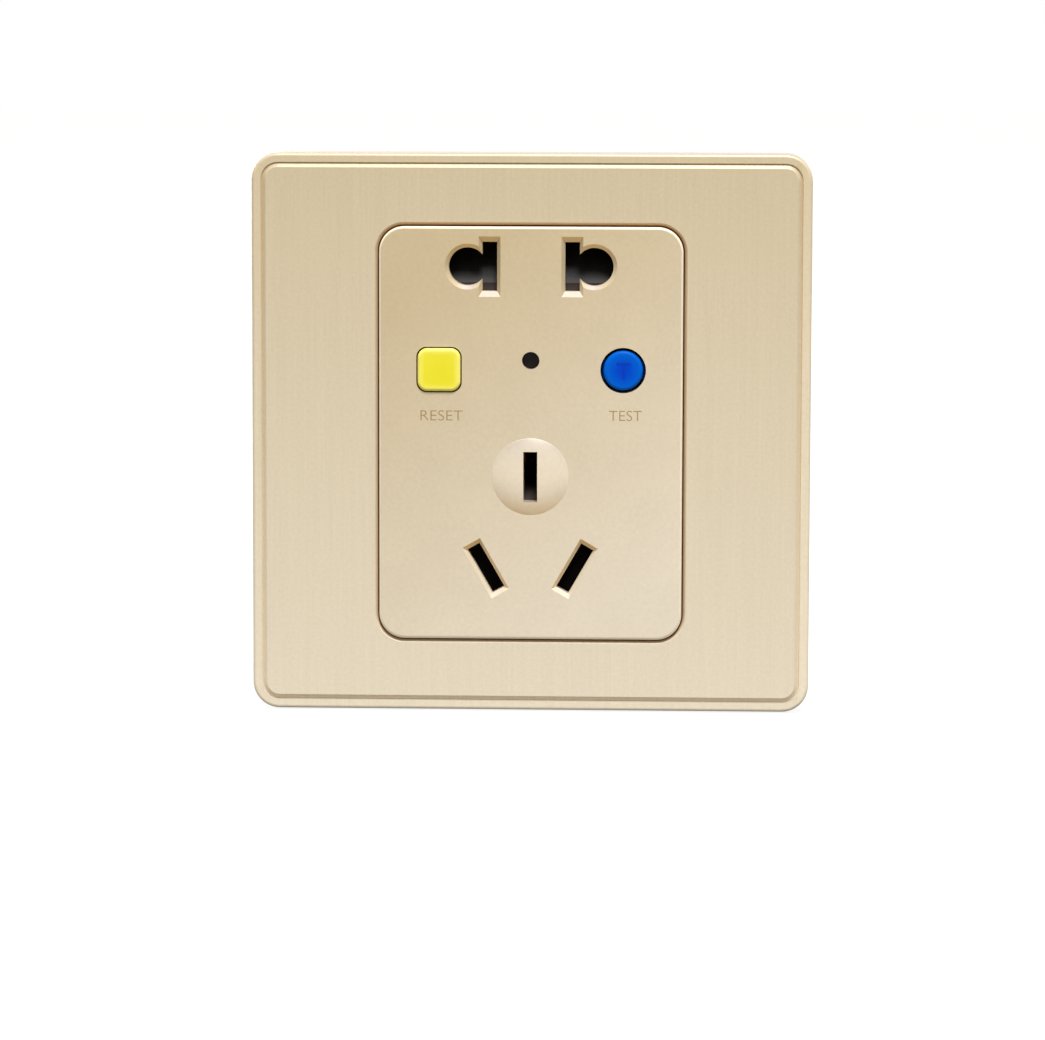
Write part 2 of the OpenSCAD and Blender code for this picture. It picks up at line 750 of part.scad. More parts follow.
// Round cap with a rounded edge, ears at its sides and a stem that reaches the test leaf
module test_button() {
    r = test_d / 2;
    round = 0.5;
    color("royalblue") on_wall() translate([test_x, button_y, 0]) {
        rotate_extrude() {
            profile(0, r, ear_top - ear_t, test_z - round);
            profile(0, r - round, ear_top, test_z);
            translate([r - round, test_z - round]) intersection() {
                circle(round);
                profile(-round, round, 0, round);
            }
        }
        layer(ear_top - ear_t, ear_top) square([test_d + 2.8, test_d / 2], center = true);
        layer(test_reach, ear_top - ear_t + over) circle(test_stem_r);
    }
}

// Coil round the TEST stem
module test_spring() {
    color("silver") on_wall() translate([test_x, button_y, 0])
        coil_spring(test_stem_r + 0.65, 0.4, retainer_top + 0.1, ear_top - ear_t - 0.1, 4);
}

// Clear rod that brings the lamp's light to the face, with a collar that stops it
module light_guide() {
    color("aliceblue") on_wall() translate([0, indicator_y, 0]) {
        layer(board_z + 4.6, face_z - 1.2) circle(indicator_d / 2 - 0.15);
        layer(face_back - 3.1, face_back - 2.1) circle(indicator_d / 2 + 0.6);
    }
}

// Insulating deck: seats for the contacts, walls between them, guide pins and board legs
module contact_base() {
    color("whitesmoke") on_wall() difference() {
        union() {
            layer(deck_base, deck_top) difference() {
                rounded_rect(cavity_w - 0.6, cavity_h - 0.6, 1.6);
                for (x = [-1, 1], y = [-1, 1]) scale([x, y])
                    translate([housing_w / 2 - corner_block - 0.3, housing_h / 2 - corner_block - 0.3])
                        square(corner_block);
            }
            both_sides() {
                // pads under the contacts
                translate([strap_x, two_pin_y, 0]) layer(deck_base, strap_base)
                    square([strap_w, 3], center = true);
                translate([strap_x, 2, 0]) layer(deck_base, strap_base)
                    square([strap_w, 4], center = true);
                translate([pin_x, pin_y, 0]) rotate(-pin_tilt) layer(deck_base, strap_base)
                    square([4.2, 3], center = true);
                // walls between the live side and the neutral side
                translate([3.2, -2, deck_base]) cube([0.8, indicator_y - 5, strap_top - deck_base + 2]);
                translate([3.2, riser_y + 1, deck_base])
                    cube([0.8, two_pin_top - riser_y - 1, strap_top - deck_base + 2]);
            }
            translate([0, earth_y - pin_slot_h / 2 - 1.7, 0])
                layer(deck_base, strap_base) square([3.2, 1.8], center = true);
            // pins that guide the carriage
            for (x = [guide_left, guide_right]) translate([x, button_y, 0])
                layer(carriage_base - reset_travel - 1, deck_base + over) circle(guide_r);
            // legs that hold the board down
            for (spot = [[-1, -16], [1, -17.5], [1, 20.5], [-1, 22]])
                translate([spot.x * (cavity_w / 2 - 2.6), spot.y, 0])
                    layer(board_z, deck_base + over) circle(1.4);
        }
        layer(deck_base - 1, deck_top + 1) {
            translate([reset_x, button_y]) circle(reset_stem_r + 0.3);
            translate([test_x, button_y]) circle(test_stem_r + 0.3);
            translate([0, indicator_y]) circle(indicator_d / 2 + 0.2);
            both_sides() translate([bridge_x, riser_y]) square([3.8, 1.4], center = true);
            translate([0, block_top + 1.2]) square([3.6, 1.4], center = true);
        }
    }
}

// Stamped strip on the live side: a clip for flat or round pins, a strap and a slanted clip
module side_contact() {
    layer(strap_base, strap_top) {
        translate([flat_x - 2.2, two_pin_y - clip_l / 2])
            square([round_x - flat_x + 6.2, clip_l]);
        translate([strap_x - strap_w / 2, pin_y]) square([strap_w, two_pin_y - pin_y]);
        translate([pin_x, pin_y]) rotate(-pin_tilt) square([4.4, clip_l + 0.4], center = true);
    }
    translate([0, two_pin_y, 0]) {
        leaf(flat_x, -1, clip_l);
        leaf(flat_x, 1, clip_l);
        leaf(round_x + 1.4, 1, clip_l);
    }
    translate([pin_x, pin_y, 0]) rotate(-pin_tilt) {
        leaf(0, -1, clip_l);
        leaf(0, 1, clip_l);
    }
}

// Live side of the socket, on the right
module live_contact() {
    color("goldenrod") on_wall() side_contact();
}

// Neutral side, on the left
module neutral_contact() {
    color("goldenrod") on_wall() mirror([1, 0, 0]) side_contact();
}

// Earth clip with a strap and a tail that drops into the middle terminal
module earth_contact() {
    tail_y = block_top + 1.2;
    color("goldenrod") on_wall() {
        layer(strap_base, strap_top) difference() {
            translate([-2.2, earth_y - pin_slot_h / 2 - 1.4])
                square([4.4, pin_slot_h + 2]);
            translate([0, earth_y]) square([2.2, pin_slot_h], center = true);
        }
        layer(strap_base, strap_top)
            translate([-1.5, tail_y - strap_t / 2])
                square([3, earth_y - pin_slot_h / 2 - 1 - tail_y]);
        translate([0, earth_y, 0]) {
            leaf(0, -1, clip_l);
            leaf(0, 1, clip_l);
        }
        translate([-1.5, tail_y - strap_t / 2, fixed_base])
            cube([3, strap_t, strap_base - fixed_base + strap_t / 2]);
        translate([-1.5, clamp_low + 0.4, fixed_base])
            cube([3, tail_y - clamp_low - 0.4, strap_t]);
    }
}

// Moulded slide that carries the moving contacts and the armature
module contact_carriage() {
    color("dimgray") on_wall() difference() {
        layer(carriage_base, carriage_top)
            translate([carriage_left, button_y - carriage_h / 2])
                square([carriage_right - carriage_left, carriage_h]);
        for (x = [guide_left, guide_right]) translate([x, button_y, 0])
            layer(carriage_base - 1, carriage_top + 1) circle(guide_r + 0.15);
        translate([0, indicator_y, 0])
            layer(carriage_base - 1, carriage_top + 1) circle(indicator_d / 2 + 0.3);
        // pockets that lighten the slide
        for (x = [reset_x + 6, guide_right - 4.6]) translate([x, button_y, 0])
            layer(carriage_top - 1.2, carriage_top + 1) rounded_rect(4, carriage_h - 2.4, 0.8);
    }
}

// Coils that lift the carriage off the fixed contacts
module carriage_springs() {
    color("silver") on_wall() for (x = [guide_left, guide_right])
        translate([x, button_y, 0])
            coil_spring(guide_r + 0.35, 0.3, board_z + 0.1, carriage_base - 0.1, 7);
}

// Steel plate that the magnet holds down
module armature() {
    color("slategray") on_wall() translate([reset_x, button_y, 0])
        layer(armature_base, carriage_base) rounded_rect(yoke_w - 0.4, yoke_l, 1);
}

// Copper bar with a silver tip near each end, hung under the carriage
module bridge() {
    layer(carriage_base - bridge_t, carriage_base) rounded_rect(3, bridge_l, 1);
    for (y = [-1, 1]) translate([0, y * contact_reach, 0])
        layer(carriage_base - bridge_t - tip_t, carriage_base - bridge_t + 0.1) circle(tip_r);
}

// Moving contact on the live side
module live_bridge() {
    color("peru") on_wall() translate([bridge_x, button_y, 0]) bridge();
}

// Moving contact on the neutral side
module neutral_bridge() {
    color("peru") on_wall() translate([-bridge_x, button_y, 0]) bridge();
}

// Silver tip and the pad under it, on a foot that stands on the board
module fixed_contact(y, inward) {
    layer(fixed_base, fixed_top) translate([-1.7, y - 1.8]) square([3.4, 3.6]);
    layer(fixed_top - 0.1, fixed_top + tip_t) translate([0, y]) circle(tip_r);
    translate([-1.7, y + inward * 1.4 - 0.4, board_z]) cube([3.4, 0.8, fixed_top - board_z]);
}

// Two fixed contacts whose risers meet the undersides of the socket's strips
module load_contacts() {
    y = button_y + contact_reach;
    color("peru") on_wall() both_sides() translate([bridge_x, 0, 0]) {
        fixed_contact(y, -1);
        layer(fixed_base, fixed_top) translate([-1.7, y]) square([3.4, riser_y - y]);
        translate([-1.7, riser_y - strap_t / 2, fixed_base])
            cube([3.4, strap_t, strap_base - fixed_base]);
    }
}

// Bar from a terminal clamp through the sensing core to a fixed contact
module line_conductor() {
    y = button_y - contact_reach;
    translate([bridge_x, 0, 0]) fixed_contact(y, 1);
    layer(fixed_base, fixed_top)
        strip([[bridge_x, y], [conductor_x, sensing_y + sensing_l / 2 + 3.5],
            [conductor_x, sensing_y - sensing_l / 2 - 2.5],
            [terminal_pitch, block_top + 2.2], [terminal_pitch, clamp_low + 0.4]], conductor_w);
}

// Live conductor, on the right
module live_conductor() {
    color("peru") on_wall() line_conductor();
}

// Neutral conductor, on the left
module neutral_conductor() {
    color("peru") on_wall() mirror([1, 0, 0]) line_conductor();
}

// Nylon bobbin of the holding magnet
module coil_bobbin() {
    color("ivory") on_wall() translate([reset_x, button_y, 0]) difference() {
        union() {
            layer(bobbin_base, bobbin_base + flange_thin) circle(bobbin_r);
            layer(bobbin_top - flange_thin, bobbin_top) circle(bobbin_r);
            layer(bobbin_base, bobbin_top) circle(core_r + 0.9);
        }
        layer(bobbin_base - 1, bobbin_top + 1) circle(core_r + 0.1);
    }
}

// Enamelled copper wound on the bobbin
module coil_winding() {
    color("chocolate") on_wall() translate([reset_x, button_y, 0])
        layer(bobbin_base + flange_thin, bobbin_top - flange_thin) difference() {
            circle(bobbin_r - 0.6);
            circle(core_r + 0.9);
        }
}

// Iron core, riveted into the yoke
module magnet_core() {
    color("slategray") on_wall() translate([reset_x, button_y, 0])
        layer(bobbin_base, pole_z) circle(core_r);
}

// Bent steel yoke: a base under the bobbin and a leg at each end
module magnet_yoke() {
    color("slategray") on_wall() translate([reset_x, button_y, 0]) {
        layer(board_z, board_z + yoke_t) square([yoke_w, yoke_l], center = true);
        for (y = [-1, 1]) translate([0, y * (yoke_l - yoke_t) / 2, 0])
            layer(board_z, pole_z) square([yoke_w, yoke_t], center = true);
    }
}

// Ring core round both conductors, standing on the board
module sensing_core() {
    color("darkolivegreen") on_wall() translate([0, sensing_y, sensing_z]) rotate([90, 0, 0])
        linear_extrude(sensing_l - 1.6, center = true) difference() {
            circle(sensing_r - 0.8);
            circle(sensing_hole_r + 0.8);
        }
}

// Secondary winding: a closed band of wire round the ring
module sensing_winding() {
    color("chocolate") on_wall() translate([0, sensing_y, sensing_z]) rotate([90, 0, 0])
        difference() {
            linear_extrude(sensing_l, center = true) difference() {
                circle(sensing_r);
                circle(sensing_hole_r);
            }
            linear_extrude(sensing_l - 1.6, center = true) difference() {
                circle(sensing_r - 0.8);
                circle(sensing_hole_r + 0.8);
            }
        }
}

// Board on the housing's pads, cut out at the screw columns and above the terminals
module circuit_board() {
    low = block_top + 0.5;
    high = cavity_h / 2 - 0.4;
    color("darkgreen") on_wall() difference() {
        translate([-cavity_w / 2 + 0.6, low, board_base])
            cube([cavity_w - 1.2, high - low, board_t]);
        both_sides() translate([housing_w / 2 - corner_block - 0.4,
            housing_h / 2 - corner_block - 0.4, board_base - 1])
            cube([corner_block, corner_block, board_t + 2]);
    }
}

// Electrolytic can that smooths the supply
module smoothing_capacitor() {
    color("midnightblue") on_wall() translate([9.5, 27.2, 0]) rotate_extrude() difference() {
        profile(0, 3.2, board_z, board_z + 11);
        translate([3.35, board_z + 1.2]) circle(0.4);
    }
}

// Disc varistor across the supply
module varistor() {
    color("royalblue") on_wall() translate([-8.5, 27, board_z + 5]) {
        rotate([90, 0, 0]) linear_extrude(3.4, center = true) circle(4.4);
        for (x = [-2.5, 2.5]) translate([x, 0, -5]) cylinder(r = 0.35, h = 2);
    }
}

// Trip amplifier in a small dual in-line case
module control_chip() {
    color("#303030") on_wall() translate([14.5, -9, board_z]) {
        translate([-3.2, -4.8, 0.5]) difference() {
            cube([6.4, 9.6, 3.2]);
            translate([3.2, 9.6, 2.8]) cylinder(r = 0.9, h = 1);
        }
        for (x = [-1, 1], i = [-1.5:1.5])
            translate([x * 3.7, i * 2.54, 1.1]) cube([1.2, 1, 2.2], center = true);
    }
}

// Thyristor that drops out the magnet, in a half-round case
module thyristor() {
    color("#303030") on_wall() translate([19.5, 2.5, board_z]) {
        translate([0, 0, 2]) linear_extrude(4.6) difference() {
            circle(2.4);
            translate([-3, -4.2]) square([6, 3]);
        }
        for (x = [-1.27, 0, 1.27]) translate([x, 0, 0]) cylinder(r = 0.25, h = 2.1);
    }
}

// Axial part on two bent leads, along y
module axial(r, body) {
    end = body / 2 + 1.2;
    translate([0, 0, r + 0.3]) rotate([90, 0, 0]) {
        cylinder(r = r, h = body, center = true);
        cylinder(r = 0.3, h = 2 * end, center = true);
    }
    for (y = [-1, 1]) translate([0, y * end, 0]) cylinder(r = 0.3, h = r + 0.3);
}

// Three axial resistors
module resistors() {
    color("burlywood") on_wall() for (spot = [[-20, -6], [-16.5, -9.5], [-13, -9.5]])
        translate([spot.x, spot.y, board_z]) axial(1.2, 6);
}

// Four rectifier diodes
module diodes() {
    color("#303030") on_wall() for (i = [0:3])
        translate([-9.6 + (i % 2) * 19.2, i < 2 ? 22.8 : 19.8, board_z]) rotate(90) axial(0.9, 2.6);
}

// Indicator lamp under the light guide
module indicator_led() {
    color("palegreen") on_wall() translate([0, indicator_y, board_z]) rotate_extrude() {
        profile(0, 1.9, 0, 1);
        profile(0, 1.5, 0, 3);
        intersection() {
            translate([0, 3]) circle(1.5);
            profile(0, 2, 3, 5);
        }
    }
}

// Sprung strip that the TEST stem bends down
module test_leaf() {
    tip_z = test_reach - test_travel - run_gap;
    foot_y = button_y - 9;
    color("goldenrod") on_wall() translate([test_x, 0, 0]) {
        translate([-1.3, foot_y, board_z]) cube([2.6, 0.5, tip_z - board_z]);
        translate([-1.3, foot_y, tip_z - 0.4]) cube([2.6, 11, 0.4]);
    }
}

// Post that the leaf touches, which sends current through the test resistor
module test_post() {
    tip_z = test_reach - test_travel - run_gap - 0.7;
    color("silver") on_wall() translate([test_x, button_y, 0]) {
        layer(board_z, tip_z) circle(0.8);
        layer(board_z, board_z + 1) circle(1.8);
    }
}

// Moulded block with three cells, open to the deck, with a way in for each wire
module terminal_block() {
    color("whitesmoke") on_wall() difference() {
        translate([-block_w / 2, block_low, rear_z])
            cube([block_w, block_h, deck_base - rear_z]);
        for (i = [-1:1]) translate([i * terminal_pitch, 0, 0]) {
            translate([-cell_w / 2, cell_low, floor_z])
                cube([cell_w, cell_top - cell_low, deck_base - floor_z + 1]);
            translate([-wire_window / 2, block_low - 1, wire_z - wire_window / 2])
                cube([wire_window, block_wall + 2, wire_window]);
            translate([0, terminal_y, 0]) layer(rear_z - 1, floor_z + 1) circle(3.4);
            translate([-2, cell_top - 1, fixed_base - 0.4])
                cube([4, 4, deck_base - fixed_base + 2]);
        }
    }
}

// Brass clamps: each a square ring that the wire and the conductor go into
module terminal_clamps() {
    window_x = cell_w / 2 - 1.3;
    color("gold") on_wall() for (i = [-1:1]) translate([i * terminal_pitch, 0, 0])
        difference() {
            translate([-clamp_w / 2, clamp_low, clamp_base])
                cube([clamp_w, clamp_top - clamp_low, clamp_rise]);
            translate([-window_x, clamp_low - 1, clamp_base + clamp_foot])
                cube([2 * window_x, clamp_top - clamp_low + 2, clamp_window]);
            translate([0, terminal_y, 0])
                layer(clamp_base - 1, clamp_base + clamp_foot + 1) circle(screw_r + 0.1);
        }
}

// Slotted screws that press the wires into the clamps, reached from the rear
module terminal_screws() {
    head_t = rear_wall - 0.2;
    color("silver") on_wall() for (i = [-1:1])
        translate([i * terminal_pitch, terminal_y, clamp_base - 0.1]) difference() {
            union() {
                cylinder(r = screw_r, h = clamp_foot);
                translate([0, 0, -head_t]) cylinder(r = 3.1, h = head_t);
            }
            translate([0, 0, -head_t]) cube([7, 0.9, 2], center = true);
        }
}

front_plate();
socket_face();
mounting_frame();
rear_housing();
housing_screws();
shutter_retainer();
retainer_screws();
two_pin_shutter();
two_pin_springs();
three_pin_shutter();
three_pin_springs();
reset_button();
reset_spring();
test_button();
test_spring();
light_guide();
contact_base();
live_contact();
neutral_contact();
earth_contact();
contact_carriage();
carriage_springs();
armature();
live_bridge();
neutral_bridge();
load_contacts();
live_conductor();
neutral_conductor();
coil_bobbin();
coil_winding();
magnet_core();
magnet_yoke();
sensing_core();
sensing_winding();
circuit_board();
smoothing_capacitor();
varistor();
control_chip();
thyristor();
resistors();
diodes();
indicator_led();
test_leaf();
test_post();
terminal_block();
terminal_clamps();
terminal_screws();
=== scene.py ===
"""Wall socket outlet with a residual-current trip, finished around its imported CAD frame."""

import math

import bpy
from mathutils import Matrix, Vector


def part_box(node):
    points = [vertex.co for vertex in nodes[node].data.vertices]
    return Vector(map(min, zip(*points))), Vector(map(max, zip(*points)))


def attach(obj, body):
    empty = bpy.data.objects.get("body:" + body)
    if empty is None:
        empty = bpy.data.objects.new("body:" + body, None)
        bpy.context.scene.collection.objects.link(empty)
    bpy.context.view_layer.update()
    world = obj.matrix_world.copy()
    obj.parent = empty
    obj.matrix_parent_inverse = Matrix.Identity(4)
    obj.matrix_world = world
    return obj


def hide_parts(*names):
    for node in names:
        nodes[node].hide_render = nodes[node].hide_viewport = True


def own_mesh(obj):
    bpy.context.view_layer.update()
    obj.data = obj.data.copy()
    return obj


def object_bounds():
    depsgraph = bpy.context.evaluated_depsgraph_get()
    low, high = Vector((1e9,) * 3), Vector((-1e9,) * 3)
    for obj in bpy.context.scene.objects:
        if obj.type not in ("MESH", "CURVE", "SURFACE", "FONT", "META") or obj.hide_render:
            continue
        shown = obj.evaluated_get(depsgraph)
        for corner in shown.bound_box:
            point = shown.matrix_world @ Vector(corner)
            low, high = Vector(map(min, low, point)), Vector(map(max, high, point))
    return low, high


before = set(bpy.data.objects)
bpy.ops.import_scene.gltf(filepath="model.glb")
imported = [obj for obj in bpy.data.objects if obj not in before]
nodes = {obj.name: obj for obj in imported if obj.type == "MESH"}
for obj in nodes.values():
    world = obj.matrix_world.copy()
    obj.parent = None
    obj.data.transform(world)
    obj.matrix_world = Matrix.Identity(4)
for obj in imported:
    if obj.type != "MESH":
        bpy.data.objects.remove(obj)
cad_box = [list(corner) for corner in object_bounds()]
scene = bpy.context.scene

# Camera
# The photograph is a product shot from 0.7 m, a little above and to the right of the plate.
# Place and turn were fitted to the plate's four corners in a picture of 1045 by 1040.
camera = bpy.data.objects.new("camera", bpy.data.cameras.new("camera"))
scene.collection.objects.link(camera)
camera.location = (0.0284, -0.700, 0.0648)
camera.rotation_euler = [math.radians(turn) for turn in (83.557, -0.14, 2.468)]
camera.data.sensor_width = 36
camera.data.lens = 155.6
camera.data.clip_start = 0.05
scene.camera = camera
scene.view_settings.view_transform = "Standard"


# Studio
# White surroundings with an even, slightly warm light all round, and one large soft lamp
# high in front, which shades the dome and lights the lower edges of the openings. A second,
# weaker one behind gives the housing its shading.
def linear(code):
    """Linear colour, with alpha, of an sRGB hex value."""
    parts = [int(code[i:i + 2], 16) / 255 for i in (1, 3, 5)]
    return [c / 12.92 if c <= 0.04045 else ((c + 0.055) / 1.055) ** 2.4 for c in parts] + [1]


def add(tree, kind, inputs=None, **settings):
    """Adds one node to a tree, sets it, and feeds its inputs with values or other outputs."""
    made = tree.nodes.new(kind)
    for name, value in settings.items():
        setattr(made, name, value)
    for name, value in (inputs or {}).items():
        if isinstance(value, bpy.types.NodeSocket):
            tree.links.new(value, made.inputs[name])
        else:
            made.inputs[name].default_value = value
    return made


scene.world = bpy.data.worlds.new("white_studio")
scene.world.use_nodes = True
tree = scene.world.node_tree
tree.nodes.clear()
path = add(tree, "ShaderNodeLightPath").outputs
seen = add(tree, "ShaderNodeMath", {0: path["Is Camera Ray"], 1: path["Is Glossy Ray"]},
           operation="MAXIMUM").outputs[0]
seen = add(tree, "ShaderNodeMath", {0: seen, 1: path["Is Transmission Ray"]},
           operation="MAXIMUM").outputs[0]
strength = add(tree, "ShaderNodeMapRange", {"Value": seen, "To Min": 0.54, "To Max": 1.0})
tone = add(tree, "ShaderNodeMix", {"Factor": seen, "A": linear("#FFF0DA"), "B": linear("#FFFFFF")},
           data_type="RGBA")
sky = add(tree, "ShaderNodeBackground", {"Color": tone.outputs["Result"],
                                         "Strength": strength.outputs[0]})
add(tree, "ShaderNodeOutputWorld", {"Surface": sky.outputs[0]})

for name, place, width, watts in (("front_lamp", (0.13, -0.58, 0.92), 0.35, 12.8),
                                  ("rear_lamp", (-0.45, 0.95, 0.20), 0.60, 6.5)):
    lamp = bpy.data.objects.new(name, bpy.data.lights.new(name, "AREA"))
    scene.collection.objects.link(lamp)
    lamp.data.shape = "DISK"
    lamp.data.size = width
    lamp.data.energy = watts
    lamp.location = place
    lamp.rotation_euler = (-lamp.location).to_track_quat("-Z", "Y").to_euler()

MM = 0.001
floor_z = cad_box[0][2] - 0.3 * MM
floor_mesh = bpy.data.meshes.new("floor")
floor_mesh.from_pydata([(-4, -4, floor_z), (4, -4, floor_z), (4, 4, floor_z), (-4, 4, floor_z)],
                       [], [(0, 1, 2, 3)])
floor = bpy.data.objects.new("floor", floor_mesh)
scene.collection.objects.link(floor)
paper = bpy.data.materials.new("white_paper")
paper.use_nodes = True
tree = paper.node_tree
tree.nodes.clear()
path = add(tree, "ShaderNodeLightPath").outputs
matt = add(tree, "ShaderNodeBsdfDiffuse", {"Color": linear("#898989")})
glow = add(tree, "ShaderNodeEmission", {"Color": linear("#FFFFFF"), "Strength": 0.9})
both = add(tree, "ShaderNodeAddShader", {0: matt.outputs[0], 1: glow.outputs[0]})
mix = add(tree, "ShaderNodeMixShader", {0: path["Is Camera Ray"], 1: matt.outputs[0],
                                        2: both.outputs[0]})
add(tree, "ShaderNodeOutputMaterial", {"Surface": mix.outputs[0]})
floor_mesh.materials.append(paper)


# Front plate
# The cover that snaps on the frame: injection-moulded polycarbonate with a champagne
# metal lacquer, brushed up and down before its clear coat.
def finish(name):
    """An empty material, its tree and its object coordinates."""
    made = bpy.data.materials.new(name)
    made.use_nodes = True
    made.node_tree.nodes.clear()
    return made, made.node_tree, add(made.node_tree, "ShaderNodeTexCoord").outputs["Object"]


def dress(material, slot, *names):
    """Gives CAD nodes that material. Its slot, the record's slot it stands for, is not used."""
    for name in names:
        nodes[name].material_slots[0].material = material


plate_finish, tree, spot = finish("brushed_champagne_lacquer")
# Streaks 0.35 mm apart and 20 mm long, which are coarser than the real ones so that they show
STREAKS = (1 / (0.35 * MM), 900, 1 / (20 * MM))
streaks = add(tree, "ShaderNodeMapping", {"Vector": spot, "Scale": STREAKS})
brushed = add(tree, "ShaderNodeTexNoise", {"Vector": streaks.outputs[0], "Scale": 1.0,
                                           "Detail": 3.0, "Roughness": 0.65})
# Metal flakes, drawn as specks of 0.5 mm because real ones are too fine to show
flakes = add(tree, "ShaderNodeTexNoise", {"Vector": spot, "Scale": 1 / (0.5 * MM), "Detail": 2.0})
# Painted light and shade: the colour is deeper towards the top and lighter towards the bottom
PLATE_HALF = 43 * MM
height = add(tree, "ShaderNodeSeparateXYZ", {"Vector": spot}).outputs["Z"]
painted_light_share = add(tree, "ShaderNodeMapRange", {"Value": height, "From Min": -PLATE_HALF,
                                         "From Max": PLATE_HALF})
base = add(tree, "ShaderNodeMix", {"Factor": painted_light_share.outputs[0], "A": linear("#F1E7D1"),
                                   "B": linear("#D0C1A1")}, data_type="RGBA")
grain = add(tree, "ShaderNodeMix", {"Factor": brushed.outputs["Fac"], "A": 0.95, "B": 1.05},
            data_type="FLOAT")
speck = add(tree, "ShaderNodeMix", {"Factor": flakes.outputs["Fac"], "A": 0.93, "B": 1.07},
            data_type="FLOAT")
shade = add(tree, "ShaderNodeMath", {0: grain.outputs[0], 1: speck.outputs[0]},
            operation="MULTIPLY")
# Painted light: the rim outside the groove is a little lighter than the panel, most of all on the
# right
RIM_INNER, RIM_OUTER = 41.2 * MM, 41.5 * MM
across = add(tree, "ShaderNodeSeparateXYZ", {"Vector": spot}).outputs["X"]
reach = add(tree, "ShaderNodeVectorMath", {0: spot}, operation="ABSOLUTE")
reach = add(tree, "ShaderNodeSeparateXYZ", {"Vector": reach.outputs[0]}).outputs
reach = add(tree, "ShaderNodeMath", {0: reach["X"], 1: reach["Z"]}, operation="MAXIMUM")
painted_rim_light = add(tree, "ShaderNodeMapRange", {"Value": reach.outputs[0], "From Min": RIM_INNER,
                                       "From Max": RIM_OUTER, "To Min": 1.0, "To Max": 1.045})
right = add(tree, "ShaderNodeMapRange", {"Value": across, "From Min": RIM_INNER,
                                         "From Max": RIM_OUTER, "To Min": 1.0, "To Max": 1.06})
painted_rim_light = add(tree, "ShaderNodeMath", {0: painted_rim_light.outputs[0], 1: right.outputs[0]}, operation="MULTIPLY")
shade = add(tree, "ShaderNodeMath", {0: shade.outputs[0], 1: painted_rim_light.outputs[0]},
            operation="MULTIPLY")


def beyond(tree, spot, half_width, half_height):
    """How far a point lies outside a rectangle round the middle of the plate or face."""
    side = add(tree, "ShaderNodeVectorMath", {0: spot, 1: (1, 0, 1)}, operation="MULTIPLY")
    side = add(tree, "ShaderNodeVectorMath", {0: side.outputs[0]}, operation="ABSOLUTE")
    side = add(tree, "ShaderNodeVectorMath", {0: side.outputs[0], 1: (half_width, 0, half_height)},
               operation="SUBTRACT")
    side = add(tree, "ShaderNodeVectorMath", {0: side.outputs[0], 1: (0, 0, 0)},
               operation="MAXIMUM")
    return add(tree, "ShaderNodeVectorMath", {0: side.outputs[0]},
               operation="LENGTH").outputs["Value"]


# Painted shade: round the opening, and a little in the groove, the colour turns browner: on
# what lies deeper than the panel's front and inside the groove's outer wall, which is
# 2.7 mm out from the centres of its rounded corners
side = beyond(tree, spot, 38.9 * MM, 38.9 * MM)
inside = add(tree, "ShaderNodeMapRange", {"Value": side, "From Min": 2.76 * MM,
                                          "From Max": 2.70 * MM})
middle = add(tree, "ShaderNodeMapRange", {"Value": side, "From Min": 1.0 * MM,
                                          "From Max": 1.2 * MM, "To Min": 1.0, "To Max": 0.2})
depth = add(tree, "ShaderNodeSeparateXYZ", {"Vector": spot}).outputs["Y"]
deep = add(tree, "ShaderNodeMapRange", {"Value": depth, "From Min": -8.4 * MM,
                                        "From Max": -8.0 * MM})
front = add(tree, "ShaderNodeMapRange", {"Value": depth, "From Min": -6.9 * MM,
                                         "From Max": -7.2 * MM})
painted_shade_brown = add(tree, "ShaderNodeMath", {0: inside.outputs[0], 1: middle.outputs[0]},
            operation="MULTIPLY")
painted_shade_brown = add(tree, "ShaderNodeMath", {0: painted_shade_brown.outputs[0], 1: deep.outputs[0]},
            operation="MULTIPLY")
painted_shade_brown = add(tree, "ShaderNodeMath", {0: painted_shade_brown.outputs[0], 1: front.outputs[0]},
            operation="MULTIPLY")
base = add(tree, "ShaderNodeMix", {"Factor": painted_shade_brown.outputs[0], "A": base.outputs["Result"],
                                   "B": linear("#B58F5E")}, data_type="RGBA")
# What looks straight up is toned down, because the high lamp would wash it out
facing = add(tree, "ShaderNodeTexCoord").outputs["Normal"]
facing = add(tree, "ShaderNodeSeparateXYZ", {"Vector": facing}).outputs["Z"]
upward = add(tree, "ShaderNodeMapRange", {"Value": facing, "From Min": 0.5, "From Max": 0.9})
base = add(tree, "ShaderNodeMix", {"Factor": upward.outputs[0], "A": base.outputs["Result"],
                                   "B": linear("#BEB29E")}, data_type="RGBA")
colour = add(tree, "ShaderNodeVectorMath", {0: base.outputs["Result"]}, operation="SCALE")
tree.links.new(shade.outputs[0], colour.inputs["Scale"])
rough = add(tree, "ShaderNodeMapRange", {"Value": brushed.outputs["Fac"], "To Min": 0.36,
                                         "To Max": 0.52})
relief = add(tree, "ShaderNodeBump", {"Strength": 0.25, "Distance": 0.03 * MM,
                                      "Height": brushed.outputs["Fac"]})
skin = add(tree, "ShaderNodeBsdfPrincipled", {
    "Base Color": colour.outputs[0], "Metallic": 0.2, "Roughness": rough.outputs[0],
    "Normal": relief.outputs[0], "Coat Weight": 0.3, "Coat Roughness": 0.3})
add(tree, "ShaderNodeOutputMaterial", {"Surface": skin.outputs[0]})
dress(plate_finish, "plate_champagne", "front_plate")


# Socket face
# The tray with the openings, moulded in polycarbonate and lacquered with fine champagne
# metallic, not brushed. Its flange lies on the frame, and four screws hold it from behind.
face_finish, tree, spot = finish("satin_champagne_lacquer")
# Its flakes, too, are drawn coarser than real ones, at 0.6 mm, with faint clouds of 9 mm
flakes = add(tree, "ShaderNodeTexNoise", {"Vector": spot, "Scale": 1 / (0.6 * MM), "Detail": 3.0})
clouds = add(tree, "ShaderNodeTexNoise", {"Vector": spot, "Scale": 1 / (9 * MM), "Detail": 1.0})
